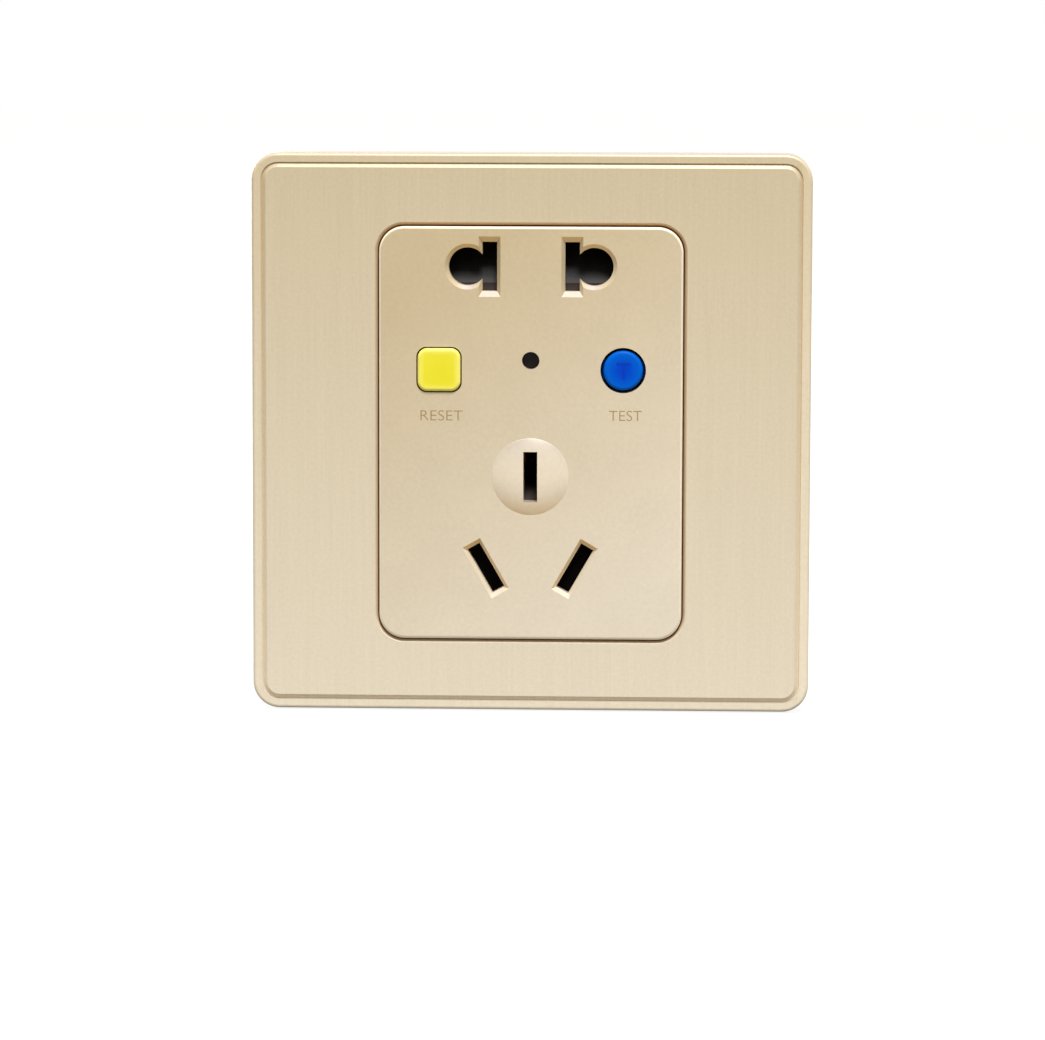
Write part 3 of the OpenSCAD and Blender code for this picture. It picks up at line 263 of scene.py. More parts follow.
# Painted shade: its colour deepens towards the upper left
height = add(tree, "ShaderNodeVectorMath", {0: spot, 1: (-0.5, 0, 1)},
             operation="DOT_PRODUCT").outputs["Value"]
painted_light_share = add(tree, "ShaderNodeMapRange", {"Value": height, "From Min": -32 * MM,
                                         "From Max": 32 * MM})
base = add(tree, "ShaderNodeMix", {"Factor": painted_light_share.outputs[0], "A": linear("#EDE3CF"),
                                   "B": linear("#CEBC97")}, data_type="RGBA")
# Painted light on the dome, which alone stands above the face, and painted shade where it looks up
FACE_Y = -8.9  # in mm
deep = add(tree, "ShaderNodeSeparateXYZ", {"Vector": spot}).outputs["Y"]
dome = add(tree, "ShaderNodeMapRange", {"Value": deep, "From Min": (FACE_Y - 0.005) * MM,
                                        "From Max": (FACE_Y - 0.05) * MM})
facing = add(tree, "ShaderNodeTexCoord").outputs["Normal"]
facing = add(tree, "ShaderNodeSeparateXYZ", {"Vector": facing}).outputs["Z"]
upward = add(tree, "ShaderNodeMapRange", {"Value": facing, "From Max": 0.45})
painted_dome_light = add(tree, "ShaderNodeMix", {"Factor": upward.outputs[0], "A": linear("#F0E3CC"),
                                     "B": linear("#B0A79C")}, data_type="RGBA")
# What looks straight up is toned down, because the high lamp would wash it out
upward = add(tree, "ShaderNodeMapRange", {"Value": facing, "From Min": 0.62, "From Max": 0.7})
base = add(tree, "ShaderNodeMix", {"Factor": upward.outputs[0], "A": base.outputs["Result"],
                                   "B": linear("#CBBEB3")}, data_type="RGBA")
base = add(tree, "ShaderNodeMix", {"Factor": dome.outputs[0], "A": base.outputs["Result"],
                                   "B": painted_dome_light.outputs["Result"]}, data_type="RGBA")
# Painted warm shade: what looks down, such as the openings' upper edges, is tinted a light warm
# gold
painted_warm_shade = add(tree, "ShaderNodeMapRange", {"Value": facing, "From Min": -0.1, "From Max": -0.7})
base = add(tree, "ShaderNodeMix", {"Factor": painted_warm_shade.outputs[0], "A": base.outputs["Result"],
                                   "B": linear("#FFDB98")}, data_type="RGBA")
# Painted highlight on the face's outer edge, 0.3 mm wide, and painted shade on the browner wall
# below it
CORNER_R = 3.9 * MM
out = beyond(tree, spot, 23.35 * MM - CORNER_R, 31.85 * MM - CORNER_R)
painted_edge_band = add(tree, "ShaderNodeMapRange", {"Value": out, "From Min": CORNER_R - 0.35 * MM,
                                        "From Max": CORNER_R - 0.2 * MM})
wall = add(tree, "ShaderNodeMapRange", {"Value": deep, "From Min": -8.6 * MM,
                                        "From Max": -8.3 * MM})
painted_edge_light_and_shade = add(tree, "ShaderNodeMix", {"Factor": wall.outputs[0], "A": linear("#FCF2DF"),
                                     "B": linear("#C0904C")}, data_type="RGBA")
base = add(tree, "ShaderNodeMix", {"Factor": painted_edge_band.outputs[0], "A": base.outputs["Result"],
                                   "B": painted_edge_light_and_shade.outputs["Result"]}, data_type="RGBA")
# The yellow cap's light colours the wall of its hole
RESET_AT = (-14.1 * MM, 0, 9.85 * MM)
near = add(tree, "ShaderNodeVectorMath", {0: spot, 1: (1, 0, 1)}, operation="MULTIPLY")
near = add(tree, "ShaderNodeVectorMath", {0: near.outputs[0], 1: RESET_AT},
           operation="DISTANCE")
near = add(tree, "ShaderNodeMapRange", {"Value": near.outputs["Value"], "From Min": 5.3 * MM,
                                        "From Max": 5.2 * MM})
near = add(tree, "ShaderNodeMath", {0: near.outputs[0], 1: wall.outputs[0]},
           operation="MULTIPLY")
base = add(tree, "ShaderNodeMix", {"Factor": near.outputs[0], "A": base.outputs["Result"],
                                   "B": linear("#D2A92C")}, data_type="RGBA")
speck = add(tree, "ShaderNodeMix", {"Factor": flakes.outputs["Fac"], "A": 0.93, "B": 1.07},
            data_type="FLOAT")
cloud = add(tree, "ShaderNodeMix", {"Factor": clouds.outputs["Fac"], "A": 0.96, "B": 1.04},
            data_type="FLOAT")
shade = add(tree, "ShaderNodeMath", {0: speck.outputs[0], 1: cloud.outputs[0]},
            operation="MULTIPLY")
colour = add(tree, "ShaderNodeVectorMath", {0: base.outputs["Result"]}, operation="SCALE")
tree.links.new(shade.outputs[0], colour.inputs["Scale"])
rough = add(tree, "ShaderNodeMapRange", {"Value": flakes.outputs["Fac"], "To Min": 0.38,
                                         "To Max": 0.5})
relief = add(tree, "ShaderNodeBump", {"Strength": 0.2, "Distance": 0.02 * MM,
                                      "Height": flakes.outputs["Fac"]})
skin = add(tree, "ShaderNodeBsdfPrincipled", {
    "Base Color": colour.outputs[0], "Metallic": 0.15, "Roughness": rough.outputs[0],
    "Normal": relief.outputs[0], "Coat Weight": 0.45, "Coat Roughness": 0.32})
add(tree, "ShaderNodeOutputMaterial", {"Surface": skin.outputs[0]})
dress(face_finish, "face_champagne", "socket_face")


# Button names
# RESET and TEST, pad-printed in thin tan ink below their buttons.
ink, tree, spot = finish("tan_printing_ink")
patches = add(tree, "ShaderNodeTexNoise", {"Vector": spot, "Scale": 1 / (0.4 * MM)})
colour = add(tree, "ShaderNodeMix", {"Factor": patches.outputs["Fac"], "A": linear("#A48A56"),
                                     "B": linear("#B19964")}, data_type="RGBA")
skin = add(tree, "ShaderNodeBsdfPrincipled", {"Base Color": colour.outputs["Result"],
                                              "Metallic": 0.1, "Roughness": 0.45})
add(tree, "ShaderNodeOutputMaterial", {"Surface": skin.outputs[0]})
INK_T = 0.02 * MM
CAP_SHARE = 0.69  # height of a capital letter over the font's size


def print_word(word, left, right, low, cap, front, swell, material, body):
    """Flat letters from left to right, cap high above low, on the surface at Y front, and
    swell bolder on each side, all in mm."""
    curve = bpy.data.curves.new(f"name_{word.lower()}", "FONT")
    curve.body = word
    curve.size = cap * MM / CAP_SHARE
    curve.extrude = INK_T / 2
    curve.offset = swell * MM
    curve.resolution_u = 4
    text = bpy.data.objects.new("text", curve)
    scene.collection.objects.link(text)
    bpy.context.view_layer.update()
    mesh = bpy.data.meshes.new_from_object(text.evaluated_get(
        bpy.context.evaluated_depsgraph_get()))
    bpy.data.objects.remove(text)
    wide = [v.co.x for v in mesh.vertices]
    mesh.transform(Matrix.Translation((left * MM, front * MM, low * MM))
                   @ Matrix.Rotation(math.radians(90), 4, "X")
                   @ Matrix.Diagonal(((right - left) * MM / (max(wide) - min(wide)), 1, 1, 1))
                   @ Matrix.Translation((-min(wide), 0, 0)))
    name = bpy.data.objects.new(f"name_{word.lower()}", mesh)
    scene.collection.objects.link(name)
    mesh.materials.clear()
    mesh.materials.append(material)
    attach(name, body)


print_word("RESET", -16.95, -10.45, 2.0, 1.6, FACE_Y, -0.025, ink, "base")
print_word("TEST", 12.05, 17.1, 2.1, 1.6, FACE_Y, -0.025, ink, "base")


# RESET button
# Square cap moulded in bright yellow ABS, polished, with a long stem to the contact slide.
yellow, tree, spot = finish("yellow_moulded_abs")
swirl = add(tree, "ShaderNodeTexNoise", {"Vector": spot, "Scale": 1 / (2.5 * MM), "Detail": 2.0})
colour = add(tree, "ShaderNodeMix", {"Factor": swirl.outputs["Fac"], "A": linear("#EDE420"),
                                     "B": linear("#F3EB3A")}, data_type="RGBA")
# The plastic lets some light through. Painted highlight: the cap's rim is lighter than its middle
side = add(tree, "ShaderNodeVectorMath", {0: spot, 1: RESET_AT}, operation="SUBTRACT").outputs[0]
side = add(tree, "ShaderNodeVectorMath", {0: side}, operation="ABSOLUTE").outputs[0]
side = add(tree, "ShaderNodeSeparateXYZ", {"Vector": side}).outputs
side = add(tree, "ShaderNodeMath", {0: side["X"], 1: side["Z"], 2: 1.2 * MM},
           operation="SMOOTH_MAX").outputs[0]
painted_rim_light = add(tree, "ShaderNodeMapRange", {"Value": side, "From Min": 2.2 * MM,
                                       "From Max": 3.3 * MM})
colour = add(tree, "ShaderNodeMix", {"Factor": painted_rim_light.outputs[0], "A": colour.outputs["Result"],
                                     "B": linear("#FFF77C")}, data_type="RGBA")
relief = add(tree, "ShaderNodeBump", {"Strength": 0.15, "Distance": 0.02 * MM,
                                      "Height": swirl.outputs["Fac"]})
skin = add(tree, "ShaderNodeBsdfPrincipled", {
    "Base Color": colour.outputs["Result"], "Roughness": 0.28, "Normal": relief.outputs[0],
    "Subsurface Weight": 0.1, "Subsurface Radius": (0.0012, 0.001, 0.0003)})
add(tree, "ShaderNodeOutputMaterial", {"Surface": skin.outputs[0]})
dress(yellow, "yellow_plastic", "reset_button")


# TEST button
# Round cap moulded in blue ABS. Its stem bends the test leaf on to its post.
blue, tree, spot = finish("blue_moulded_abs")
swirl = add(tree, "ShaderNodeTexNoise", {"Vector": spot, "Scale": 1 / (1.6 * MM), "Detail": 2.0})
colour = add(tree, "ShaderNodeMix", {"Factor": swirl.outputs["Fac"], "A": linear("#0041C0"),
                                     "B": linear("#004CDC")}, data_type="RGBA")
# Painted highlight: this cap, too, is lighter towards its rim
TEST_AT = (14.25 * MM, 0, 9.8 * MM)
away = add(tree, "ShaderNodeVectorMath", {0: spot, 1: (1, 0, 1)}, operation="MULTIPLY")
away = add(tree, "ShaderNodeVectorMath", {0: away.outputs[0], 1: TEST_AT}, operation="DISTANCE")
painted_rim_light = add(tree, "ShaderNodeMapRange", {"Value": away.outputs["Value"], "From Min": 0.8 * MM,
                                       "From Max": 2.6 * MM})
colour = add(tree, "ShaderNodeMix", {"Factor": painted_rim_light.outputs[0], "A": colour.outputs["Result"],
                                     "B": linear("#0062D4")}, data_type="RGBA")
relief = add(tree, "ShaderNodeBump", {"Strength": 0.15, "Distance": 0.02 * MM,
                                      "Height": swirl.outputs["Fac"]})
skin = add(tree, "ShaderNodeBsdfPrincipled", {
    "Base Color": colour.outputs["Result"], "Roughness": 0.38, "Normal": relief.outputs[0],
    "Specular IOR Level": 0.06})
add(tree, "ShaderNodeOutputMaterial", {"Surface": skin.outputs[0]})
dress(blue, "blue_plastic", "test_button")
# Its letter T is moulded in, and shows only as a slightly darker blue
dark_blue, tree, spot = finish("blue_moulded_letter")
swirl = add(tree, "ShaderNodeTexNoise", {"Vector": spot, "Scale": 1 / (0.5 * MM)})
colour = add(tree, "ShaderNodeMix", {"Factor": swirl.outputs["Fac"], "A": linear("#0038B4"),
                                     "B": linear("#0040C8")}, data_type="RGBA")
skin = add(tree, "ShaderNodeBsdfPrincipled", {"Base Color": colour.outputs["Result"],
                                              "Roughness": 0.4, "Specular IOR Level": 0.12})
add(tree, "ShaderNodeOutputMaterial", {"Surface": skin.outputs[0]})
CAP_Y = -9.0  # in mm
print_word("T", 13.15, 15.35, 8.6, 2.4, CAP_Y, 0.1, dark_blue, "test")


# Shutters
# Two slides moulded in black acetal, which is slippery. They close the openings until pins
# push them down. The lower one is a darker, less shiny copy of the upper one, with painted
# shade, and both carry a painted grey patch of light at the lower end of the openings: the
# lower one only in its middle, at the earth opening.
for name, dark, light, rough, gloss, across, painted_light_z, piece in (
        ("shiny_black_acetal", "#060505", "#0D0B0B", 0.45, 0.12, 0, 21.6, "two_pin_shutter"),
        ("painted_shade_black_acetal", "#030202", "#080606", 0.6, 0.03, 1, -10.4, "three_pin_shutter")):
    black, tree, spot = finish(name)
    grain = add(tree, "ShaderNodeTexNoise", {"Vector": spot, "Scale": 1 / (0.3 * MM),
                                             "Detail": 2.0})
    colour = add(tree, "ShaderNodeMix", {"Factor": grain.outputs["Fac"], "A": linear(dark),
                                         "B": linear(light)}, data_type="RGBA")
    # Painted light: a grey patch at the lower end of the opening, where light falls in
    away = add(tree, "ShaderNodeVectorMath", {0: spot, 1: (across, 0, 1)}, operation="MULTIPLY")
    away = add(tree, "ShaderNodeVectorMath", {0: away.outputs[0], 1: (0, 0, painted_light_z * MM)},
               operation="DISTANCE")
    painted_slot_light = add(tree, "ShaderNodeMapRange", {"Value": away.outputs["Value"],
                                              "From Min": 2.6 * MM, "From Max": 0.6 * MM})
    colour = add(tree, "ShaderNodeMix", {"Factor": painted_slot_light.outputs[0], "B": linear("#433B39"),
                                         "A": colour.outputs["Result"]}, data_type="RGBA")
    relief = add(tree, "ShaderNodeBump", {"Strength": 0.2, "Distance": 0.03 * MM,
                                          "Height": grain.outputs["Fac"]})
    skin = add(tree, "ShaderNodeBsdfPrincipled", {
        "Base Color": colour.outputs["Result"], "Roughness": rough,
        "Normal": relief.outputs[0], "Specular IOR Level": gloss})
    add(tree, "ShaderNodeOutputMaterial", {"Surface": skin.outputs[0]})
    dress(black, "black_plastic", piece)


# Springs
# Compression springs coiled from bright spring-steel wire, with a closed turn at each end.
# Two lift each shutter, two push the contact slide off, and one lifts each button.
spring_steel, tree, spot = finish("bright_spring_steel")
drawn = add(tree, "ShaderNodeTexNoise", {"Vector": spot, "Scale": 1 / (0.2 * MM), "Detail": 3.0})
colour = add(tree, "ShaderNodeMix", {"Factor": drawn.outputs["Fac"], "A": linear("#B2B2B0"),
                                     "B": linear("#CACAC8")}, data_type="RGBA")
gloss = add(tree, "ShaderNodeMapRange", {"Value": drawn.outputs["Fac"], "To Min": 0.17,
                                         "To Max": 0.35})
relief = add(tree, "ShaderNodeBump", {"Strength": 0.2, "Distance": 0.01 * MM,
                                      "Height": drawn.outputs["Fac"]})
skin = add(tree, "ShaderNodeBsdfPrincipled", {
    "Base Color": colour.outputs["Result"], "Metallic": 1.0, "Roughness": gloss.outputs[0],
    "Normal": relief.outputs[0]})
add(tree, "ShaderNodeOutputMaterial", {"Surface": skin.outputs[0]})

# One wire on a spiral: its first and last turns lie close, and the rest share the length
coil = bpy.data.node_groups.new("coiled_wire", "GeometryNodeTree")
for name, kind in (("Radius", "Float"), ("Length", "Float"), ("Turns", "Float"),
                   ("Wire", "Float"), ("Start", "Vector"), ("Step", "Vector"),
                   ("Count", "Int"), ("Tilt", "Float"), ("Finish", "Material")):
    coil.interface.new_socket(name, in_out="INPUT", socket_type=f"NodeSocket{kind}")
coil.interface.new_socket("Geometry", in_out="OUTPUT", socket_type="NodeSocketGeometry")
size = add(coil, "NodeGroupInput").outputs
spiral = add(coil, "GeometryNodeCurveSpiral", {
    "Resolution": 24, "Rotations": size["Turns"], "Start Radius": size["Radius"],
    "End Radius": size["Radius"], "Height": 0.0})
along = add(coil, "GeometryNodeSplineParameter").outputs["Factor"]
turn = add(coil, "ShaderNodeMath", {0: 1.0, 1: size["Turns"]}, operation="DIVIDE").outputs[0]
rest = add(coil, "ShaderNodeMath", {0: 1.0, 1: turn}, operation="SUBTRACT").outputs[0]
spread = add(coil, "ShaderNodeMath", {0: size["Wire"], 1: -3.0, 2: size["Length"]},
             operation="MULTIPLY_ADD").outputs[0]
first = add(coil, "ShaderNodeMapRange", {"Value": along, "From Max": turn, "To Max": size["Wire"]})
middle = add(coil, "ShaderNodeMapRange", {"Value": along, "From Min": turn, "From Max": rest,
                                          "To Max": spread})
last = add(coil, "ShaderNodeMapRange", {"Value": along, "From Min": rest, "To Max": size["Wire"]})
rise = add(coil, "ShaderNodeMath", {0: size["Wire"], 1: 0.5, 2: first.outputs[0]},
           operation="MULTIPLY_ADD")
rise = add(coil, "ShaderNodeMath", {0: rise.outputs[0], 1: middle.outputs[0]})
rise = add(coil, "ShaderNodeMath", {0: rise.outputs[0], 1: last.outputs[0]})
lift = add(coil, "ShaderNodeCombineXYZ", {"Z": rise.outputs[0]})
raised = add(coil, "GeometryNodeSetPosition", {"Geometry": spiral.outputs[0],
                                               "Offset": lift.outputs[0]})
half = add(coil, "ShaderNodeMath", {0: size["Wire"], 1: 0.5}, operation="MULTIPLY")
round_wire = add(coil, "GeometryNodeCurvePrimitiveCircle", {"Resolution": 8,
                                                            "Radius": half.outputs[0]})
tube = add(coil, "GeometryNodeCurveToMesh", {"Curve": raised.outputs[0], "Fill Caps": True,
                                             "Profile Curve": round_wire.outputs[0]})
tilt = add(coil, "ShaderNodeCombineXYZ", {"X": size["Tilt"]})
leaning = add(coil, "GeometryNodeTransform", {"Geometry": tube.outputs[0],
                                              "Rotation": tilt.outputs[0]})
places = add(coil, "GeometryNodeMeshLine", {
    "Count": size["Count"], "Start Location": size["Start"], "Offset": size["Step"]})
set_out = add(coil, "GeometryNodeInstanceOnPoints", {"Points": places.outputs[0],
                                                     "Instance": leaning.outputs[0]})
real = add(coil, "GeometryNodeRealizeInstances", {"Geometry": set_out.outputs[0]})
dressed = add(coil, "GeometryNodeSetMaterial", {"Geometry": real.outputs[0],
                                                "Material": size["Finish"]})
add(coil, "NodeGroupOutput", {"Geometry": dressed.outputs[0]})


def grow(name, tree, sizes):
    """A plain, smooth mesh from a Geometry Nodes tree with these sizes, on the base."""
    maker = bpy.data.objects.new("maker", bpy.data.meshes.new("maker"))
    scene.collection.objects.link(maker)
    grower = maker.modifiers.new("grow", "NODES")
    grower.node_group = tree
    for item in tree.interface.items_tree:
        if item.in_out == "INPUT":
            grower[item.identifier] = sizes[item.name]
    bpy.context.view_layer.update()
    mesh = bpy.data.meshes.new_from_object(maker.evaluated_get(
        bpy.context.evaluated_depsgraph_get()))
    bpy.data.objects.remove(maker)
    mesh.shade_smooth()
    mesh.materials.clear()
    mesh.materials.append(sizes["Finish"])
    for face in mesh.polygons:
        face.material_index = 0
    made = bpy.data.objects.new(name, mesh)
    scene.collection.objects.link(made)
    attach(made, "base")
    return made


def wound(node, turns, wire, axis, material):
    """Coiled wire in the box of a CAD node, one coil or an equal pair side by side, after the
    point where it starts and its length."""
    low, high = (Vector(corner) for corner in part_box(node))
    across, length = ("YZ".replace(axis, ""), (high - low)["XYZ".index(axis)])
    outer = (high - low)["XYZ".index(across)] / 2
    start = (low + high) / 2
    start.x = low.x + outer
    start["XYZ".index(axis)] = (low if axis == "Z" else high)["XYZ".index(axis)]
    step = high.x - low.x - 2 * outer
    return start, length, grow(f"{node}_wire", coil, {
        "Radius": outer - wire / 2, "Length": length, "Turns": turns, "Wire": wire,
        "Start": start, "Step": (step, 0, 0), "Count": 2 if step > outer else 1,
        "Tilt": 0 if axis == "Z" else math.radians(90), "Finish": material})


# Each takes the place of its CAD node, which is hidden
for node, turns, wire, axis, joint, travel in (
        ("two_pin_springs", 10.0, 0.3, "Z", "two_pin_shutter_slide", 8.35),
        ("three_pin_springs", 9.0, 0.35, "Z", "three_pin_shutter_slide", 5.0),
        ("reset_spring", 4.0, 0.4, "Y", "reset_press", 2.0),
        ("test_spring", 4.0, 0.4, "Y", "test_press", 1.5),
        ("carriage_springs", 9.0, 0.3, "Y", "carriage_close", 2.0)):
    fixed, length, spring = wound(node, turns, wire * MM, axis, spring_steel)
    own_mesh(spring)
    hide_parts(node)


# Light guide and lamp
# A smoked acrylic rod, let in below the face, brings the light of a green lamp to the hole.
# Unlit, as here, the hole looks almost black.
clear, tree, spot = finish("smoked_acrylic")
streak = add(tree, "ShaderNodeTexNoise", {"Vector": spot, "Scale": 1 / (1.2 * MM)})
rough = add(tree, "ShaderNodeMapRange", {"Value": streak.outputs["Fac"], "To Min": 0.03,
                                         "To Max": 0.12})
skin = add(tree, "ShaderNodeBsdfPrincipled", {
    "Base Color": linear("#241C17"), "Roughness": rough.outputs[0], "IOR": 1.49,
    "Transmission Weight": 0.5, "Specular IOR Level": 0.2})
add(tree, "ShaderNodeOutputMaterial", {"Surface": skin.outputs[0]})
dress(clear, "clear_plastic", "light_guide")
green, tree, spot = finish("green_epoxy_lens")
haze = add(tree, "ShaderNodeTexNoise", {"Vector": spot, "Scale": 1 / (0.8 * MM)})
colour = add(tree, "ShaderNodeMix", {"Factor": haze.outputs["Fac"], "A": linear("#4E9B58"),
                                     "B": linear("#7CC784")}, data_type="RGBA")
skin = add(tree, "ShaderNodeBsdfPrincipled", {
    "Base Color": colour.outputs["Result"], "Roughness": 0.12, "IOR": 1.54,
    "Transmission Weight": 0.5})
add(tree, "ShaderNodeOutputMaterial", {"Surface": skin.outputs[0]})
dress(green, "led_green", "indicator_led")


# Moulded pieces
# Thermoplastic mouldings that don't show from the front. Each is one colour of granulate
# through and through, with the erosion texture of its mould, drawn 0.4 to 0.5 mm coarse.
for name, slot, dark, light, rough, grain_mm, pieces in (
        ("grey_abs", "frame_plastic", "#C3C5C6", "#D2D4D5", 0.5, 0.5, ["mounting_frame"]),
        ("white_polyamide", "white_plastic", "#CBCAC2", "#D8D7D0", 0.45, 0.5,
         ["rear_housing", "contact_base", "terminal_block"]),
        ("dark_polyamide", "grey_plastic", "#3A3A3D", "#48484B", 0.45, 0.4,
         ["shutter_retainer", "contact_carriage"]),
        ("ivory_nylon", "ivory_plastic", "#DDD3B8", "#E9E0C8", 0.4, 0.4, ["coil_bobbin"])):
    moulding, tree, spot = finish(name)
    grain = add(tree, "ShaderNodeTexNoise", {"Vector": spot, "Scale": 1 / (grain_mm * MM),
                                             "Detail": 3.0})
    flow = add(tree, "ShaderNodeTexNoise", {"Vector": spot, "Scale": 1 / (14 * MM), "Detail": 1.0})
    both = add(tree, "ShaderNodeMath", {0: grain.outputs["Fac"], 1: flow.outputs["Fac"]},
               operation="MULTIPLY")
    wide = add(tree, "ShaderNodeMapRange", {"Value": both.outputs[0], "From Min": 0.1,
                                            "From Max": 0.4})
    colour = add(tree, "ShaderNodeMix", {"Factor": wide.outputs[0], "A": linear(dark),
                                         "B": linear(light)}, data_type="RGBA")
    relief = add(tree, "ShaderNodeBump", {"Strength": 0.35, "Distance": 0.03 * MM,
                                          "Height": grain.outputs["Fac"]})
    skin = add(tree, "ShaderNodeBsdfPrincipled", {
        "Base Color": colour.outputs["Result"], "Roughness": rough,
        "Normal": relief.outputs[0]})
    add(tree, "ShaderNodeOutputMaterial", {"Surface": skin.outputs[0]})
    dress(moulding, slot, *pieces)


# Contacts and conductors
# Strips stamped from sheet brass and copper, bent and left bright. The screws and the test
# post are zinc-plated steel, and the magnet, its armature and the sensing core are bare iron.
# All show rolling or drawing lines, 0.25 to 0.3 mm apart here so that they can be seen.
for name, slot, dark, light, rough, line_mm, pieces in (
        ("stamped_brass", "brass", "#C59A4E", "#DDB868", 0.28, 0.25,
         ["live_contact", "neutral_contact", "earth_contact", "test_leaf", "terminal_clamps"]),
        ("stamped_copper", "copper", "#B9714B", "#D58E66", 0.3, 0.25,
         ["live_bridge", "neutral_bridge", "load_contacts", "live_conductor",
          "neutral_conductor"]),
        ("zinc_plated_steel", "zinc_steel", "#B4B8BB", "#D0D3D4", 0.32, 0.3,
         ["housing_screws", "retainer_screws", "terminal_screws", "test_post"]),
        ("machined_iron", "iron", "#6E7276", "#888C90", 0.4, 0.3,
         ["armature", "magnet_core", "magnet_yoke", "sensing_core"])):
    metal, tree, spot = finish(name)
    along = add(tree, "ShaderNodeMapping", {"Vector": spot, "Scale": (1 / (line_mm * MM),
                                                                      1 / (line_mm * MM), 120)})
    rolled = add(tree, "ShaderNodeTexNoise", {"Vector": along.outputs[0], "Scale": 1.0,
                                              "Detail": 3.0})
    stain = add(tree, "ShaderNodeTexNoise", {"Vector": spot, "Scale": 1 / (4 * MM), "Detail": 2.0})
    colour = add(tree, "ShaderNodeMix", {"Factor": stain.outputs["Fac"], "A": linear(dark),
                                         "B": linear(light)}, data_type="RGBA")
    gloss = add(tree, "ShaderNodeMapRange", {"Value": rolled.outputs["Fac"],
                                             "To Min": rough - 0.08, "To Max": rough + 0.1})
    relief = add(tree, "ShaderNodeBump", {"Strength": 0.2, "Distance": 0.01 * MM,
                                          "Height": rolled.outputs["Fac"]})
    skin = add(tree, "ShaderNodeBsdfPrincipled", {
        "Base Color": colour.outputs["Result"], "Metallic": 1.0, "Roughness": gloss.outputs[0],
        "Normal": relief.outputs[0]})
    add(tree, "ShaderNodeOutputMaterial", {"Surface": skin.outputs[0]})
    dress(metal, slot, *pieces)


# Windings
# Copper wire in red-brown enamel: close turns side by side on the magnet's bobbin, and loops
# all the way round the iron ring of the residual-current transformer.
enamel, tree, spot = finish("enamelled_copper_wire")
drops = add(tree, "ShaderNodeTexNoise", {"Vector": spot, "Scale": 1 / (0.5 * MM), "Detail": 2.0})
colour = add(tree, "ShaderNodeMix", {"Factor": drops.outputs["Fac"], "A": linear("#7A3016"),
                                     "B": linear("#A4502C")}, data_type="RGBA")
relief = add(tree, "ShaderNodeBump", {"Strength": 0.15, "Distance": 0.01 * MM,
                                      "Height": drops.outputs["Fac"]})
skin = add(tree, "ShaderNodeBsdfPrincipled", {
    "Base Color": colour.outputs["Result"], "Metallic": 0.5, "Roughness": 0.25,
    "Normal": relief.outputs[0], "Coat Weight": 0.6, "Coat Roughness": 0.12})
add(tree, "ShaderNodeOutputMaterial", {"Surface": skin.outputs[0]})
winding = wound("coil_winding", 14.0, 0.33 * MM, "Y", enamel)[2]
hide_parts("coil_winding")

ring = bpy.data.node_groups.new("ring_winding", "GeometryNodeTree")
for name, kind in (("Radius", "Float"), ("Width", "Float"), ("Height", "Float"), ("Wire", "Float"),
                   ("Loops", "Int"), ("Centre", "Vector"), ("Finish", "Material")):
    ring.interface.new_socket(name, in_out="INPUT", socket_type=f"NodeSocket{kind}")
ring.interface.new_socket("Geometry", in_out="OUTPUT", socket_type="NodeSocketGeometry")
size = add(ring, "NodeGroupInput").outputs
loop = add(ring, "GeometryNodeCurvePrimitiveQuadrilateral", {"Width": size["Width"],
                                                            "Height": size["Height"]})
corner = add(ring, "ShaderNodeMath", {0: size["Wire"], 1: 1.5}, operation="MULTIPLY")
bent = add(ring, "GeometryNodeFilletCurve", {"Curve": loop.outputs[0], "Count": 3,
                                             "Radius": corner.outputs[0]}, mode="POLY")
half = add(ring, "ShaderNodeMath", {0: size["Wire"], 1: 0.5}, operation="MULTIPLY")
round_wire = add(ring, "GeometryNodeCurvePrimitiveCircle", {"Resolution": 8,
                                                            "Radius": half.outputs[0]})
tube = add(ring, "GeometryNodeCurveToMesh", {"Curve": bent.outputs[0],
                                             "Profile Curve": round_wire.outputs[0]})
away = add(ring, "ShaderNodeCombineXYZ", {"X": size["Radius"]})
upright = add(ring, "GeometryNodeTransform", {
    "Geometry": tube.outputs[0], "Rotation": (math.radians(90), 0, 0),
    "Translation": away.outputs[0]})
places = add(ring, "GeometryNodePoints", {"Count": size["Loops"], "Position": size["Centre"]})
number = add(ring, "GeometryNodeInputIndex").outputs[0]
angle = add(ring, "ShaderNodeMath", {0: number, 1: size["Loops"]}, operation="DIVIDE")
angle = add(ring, "ShaderNodeMath", {0: angle.outputs[0], 1: 2 * math.pi}, operation="MULTIPLY")
turned = add(ring, "ShaderNodeCombineXYZ", {"Z": angle.outputs[0]})
set_out = add(ring, "GeometryNodeInstanceOnPoints", {
    "Points": places.outputs[0], "Instance": upright.outputs[0], "Rotation": turned.outputs[0]})
real = add(ring, "GeometryNodeRealizeInstances", {"Geometry": set_out.outputs[0]})
dressed = add(ring, "GeometryNodeSetMaterial", {"Geometry": real.outputs[0],
                                                "Material": size["Finish"]})
add(ring, "NodeGroupOutput", {"Geometry": dressed.outputs[0]})
low, high = (Vector(corner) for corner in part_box("sensing_winding"))
outer = (high.x - low.x) / 2
HOLE_R = 3.6 * MM
WIRE = 0.42 * MM
winding = grow("sensing_winding_wire", ring, {
    "Radius": (outer + HOLE_R) / 2, "Width": outer - HOLE_R - WIRE,
    "Height": high.z - low.z - WIRE, "Wire": WIRE, "Loops": 54,
    "Centre": (low + high) / 2, "Finish": enamel})
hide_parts("sensing_winding")


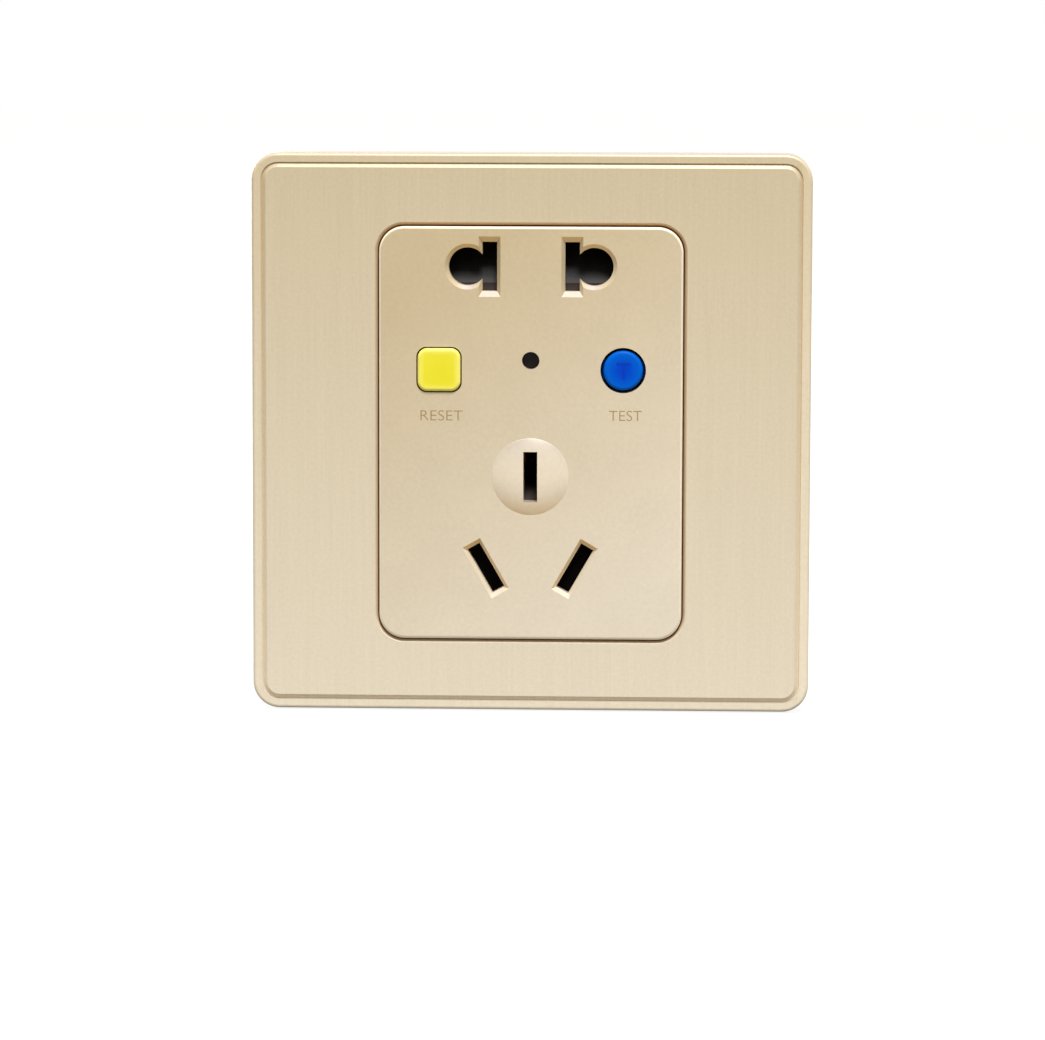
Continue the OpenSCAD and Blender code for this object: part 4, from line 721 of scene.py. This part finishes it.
# Electronics
# The board and the parts soldered to it, each in the finish that its maker gives it. A zone
# is a colour with the middle and half size, in mm, of the box that it fills: the tinned
# leads, the stripe and bare end of the capacitor, and the rings on diodes and resistors.
TINNED = "#B9BCBE"
resistor_zones = [(code, (x, 28, middle + up), (wide, 9, half))
                  for x, wide, middle in ((-20, 1.7, -6), (-14.75, 3.4, -9.5))
                  for code, up, half in (("#6B3314", -2.0, 0.3), ("#151414", -1.0, 0.3),
                                         ("#B3261C", 0, 0.3), ("#B8923F", 1.9, 0.3),
                                         (TINNED, -4.5, 1.49), (TINNED, 4.5, 1.49))]
for name, slot, dark, light, rough, patch_mm, zones, pieces in (
        ("green_solder_resist", "board_green", "#0E4A2A", "#176238", 0.35, 1.5, [],
         ["circuit_board"]),
        ("blue_can_sleeve", "can_blue", "#1B2A4C", "#263A66", 0.3, 2.0,
         [("#A9B3C6", (12.7, 24, 27.2), (0.9, 9, 9)), (TINNED, (9.5, 18.6, 27.2), (9, 0.15, 9))],
         ["smoothing_capacitor"]),
        ("blue_epoxy_dip", "disc_blue", "#2452A8", "#3465BE", 0.35, 0.8,
         [(TINNED, (-8.5, 29.6, 27), (9, 0.6, 9))], ["varistor"]),
        ("black_chip_case", "chip_black", "#19191A", "#272728", 0.55, 0.4,
         [(TINNED, (10.2, 28, -9), (1.09, 9, 9)), (TINNED, (18.8, 28, -9), (1.09, 9, 9))],
         ["control_chip"]),
        ("black_transistor_case", "chip_black", "#19191A", "#272728", 0.55, 0.4,
         [(TINNED, (19.5, 29.6, 2.5), (9, 1.99, 9))], ["thyristor"]),
        ("black_diode_case", "chip_black", "#19191A", "#272728", 0.4, 0.4,
         [("#D8D9DA", (-8.9, 28, 21), (0.25, 9, 9)), ("#D8D9DA", (10.3, 28, 21), (0.25, 9, 9)),
          (TINNED, (0, 28, 21), (8.29, 9, 9)), (TINNED, (-12.4, 28, 21), (1.49, 9, 9)),
          (TINNED, (12.4, 28, 21), (1.49, 9, 9))], ["diodes"]),
        ("tan_resistor_lacquer", "resistor_tan", "#B98F5C", "#CDA673", 0.35, 0.8,
         resistor_zones, ["resistors"])):
    part, tree, spot = finish(name)
    patch = add(tree, "ShaderNodeTexNoise", {"Vector": spot, "Scale": 1 / (patch_mm * MM),
                                             "Detail": 2.0})
    colour = add(tree, "ShaderNodeMix", {"Factor": patch.outputs["Fac"], "A": linear(dark),
                                         "B": linear(light)}, data_type="RGBA")
    for code, middle, half in zones:
        away = add(tree, "ShaderNodeVectorMath", {0: spot, 1: [at * MM for at in middle]},
                   operation="SUBTRACT")
        away = add(tree, "ShaderNodeVectorMath", {0: away.outputs[0], 1: [at * MM for at in half]},
                   operation="DIVIDE")
        away = add(tree, "ShaderNodeVectorMath", {0: away.outputs[0]}, operation="ABSOLUTE")
        away = add(tree, "ShaderNodeSeparateXYZ", {"Vector": away.outputs[0]}).outputs
        most = add(tree, "ShaderNodeMath", {0: away["X"], 1: away["Y"]}, operation="MAXIMUM")
        most = add(tree, "ShaderNodeMath", {0: most.outputs[0], 1: away["Z"]},
                   operation="MAXIMUM")
        within = add(tree, "ShaderNodeMath", {0: most.outputs[0], 1: 1.0},
                     operation="LESS_THAN")
        colour = add(tree, "ShaderNodeMix", {"Factor": within.outputs[0], "B": linear(code),
                                             "A": colour.outputs["Result"]}, data_type="RGBA")
    relief = add(tree, "ShaderNodeBump", {"Strength": 0.3, "Distance": 0.03 * MM,
                                          "Height": patch.outputs["Fac"]})
    skin = add(tree, "ShaderNodeBsdfPrincipled", {
        "Base Color": colour.outputs["Result"], "Roughness": rough,
        "Normal": relief.outputs[0]})
    add(tree, "ShaderNodeOutputMaterial", {"Surface": skin.outputs[0]})
    dress(part, slot, *pieces)
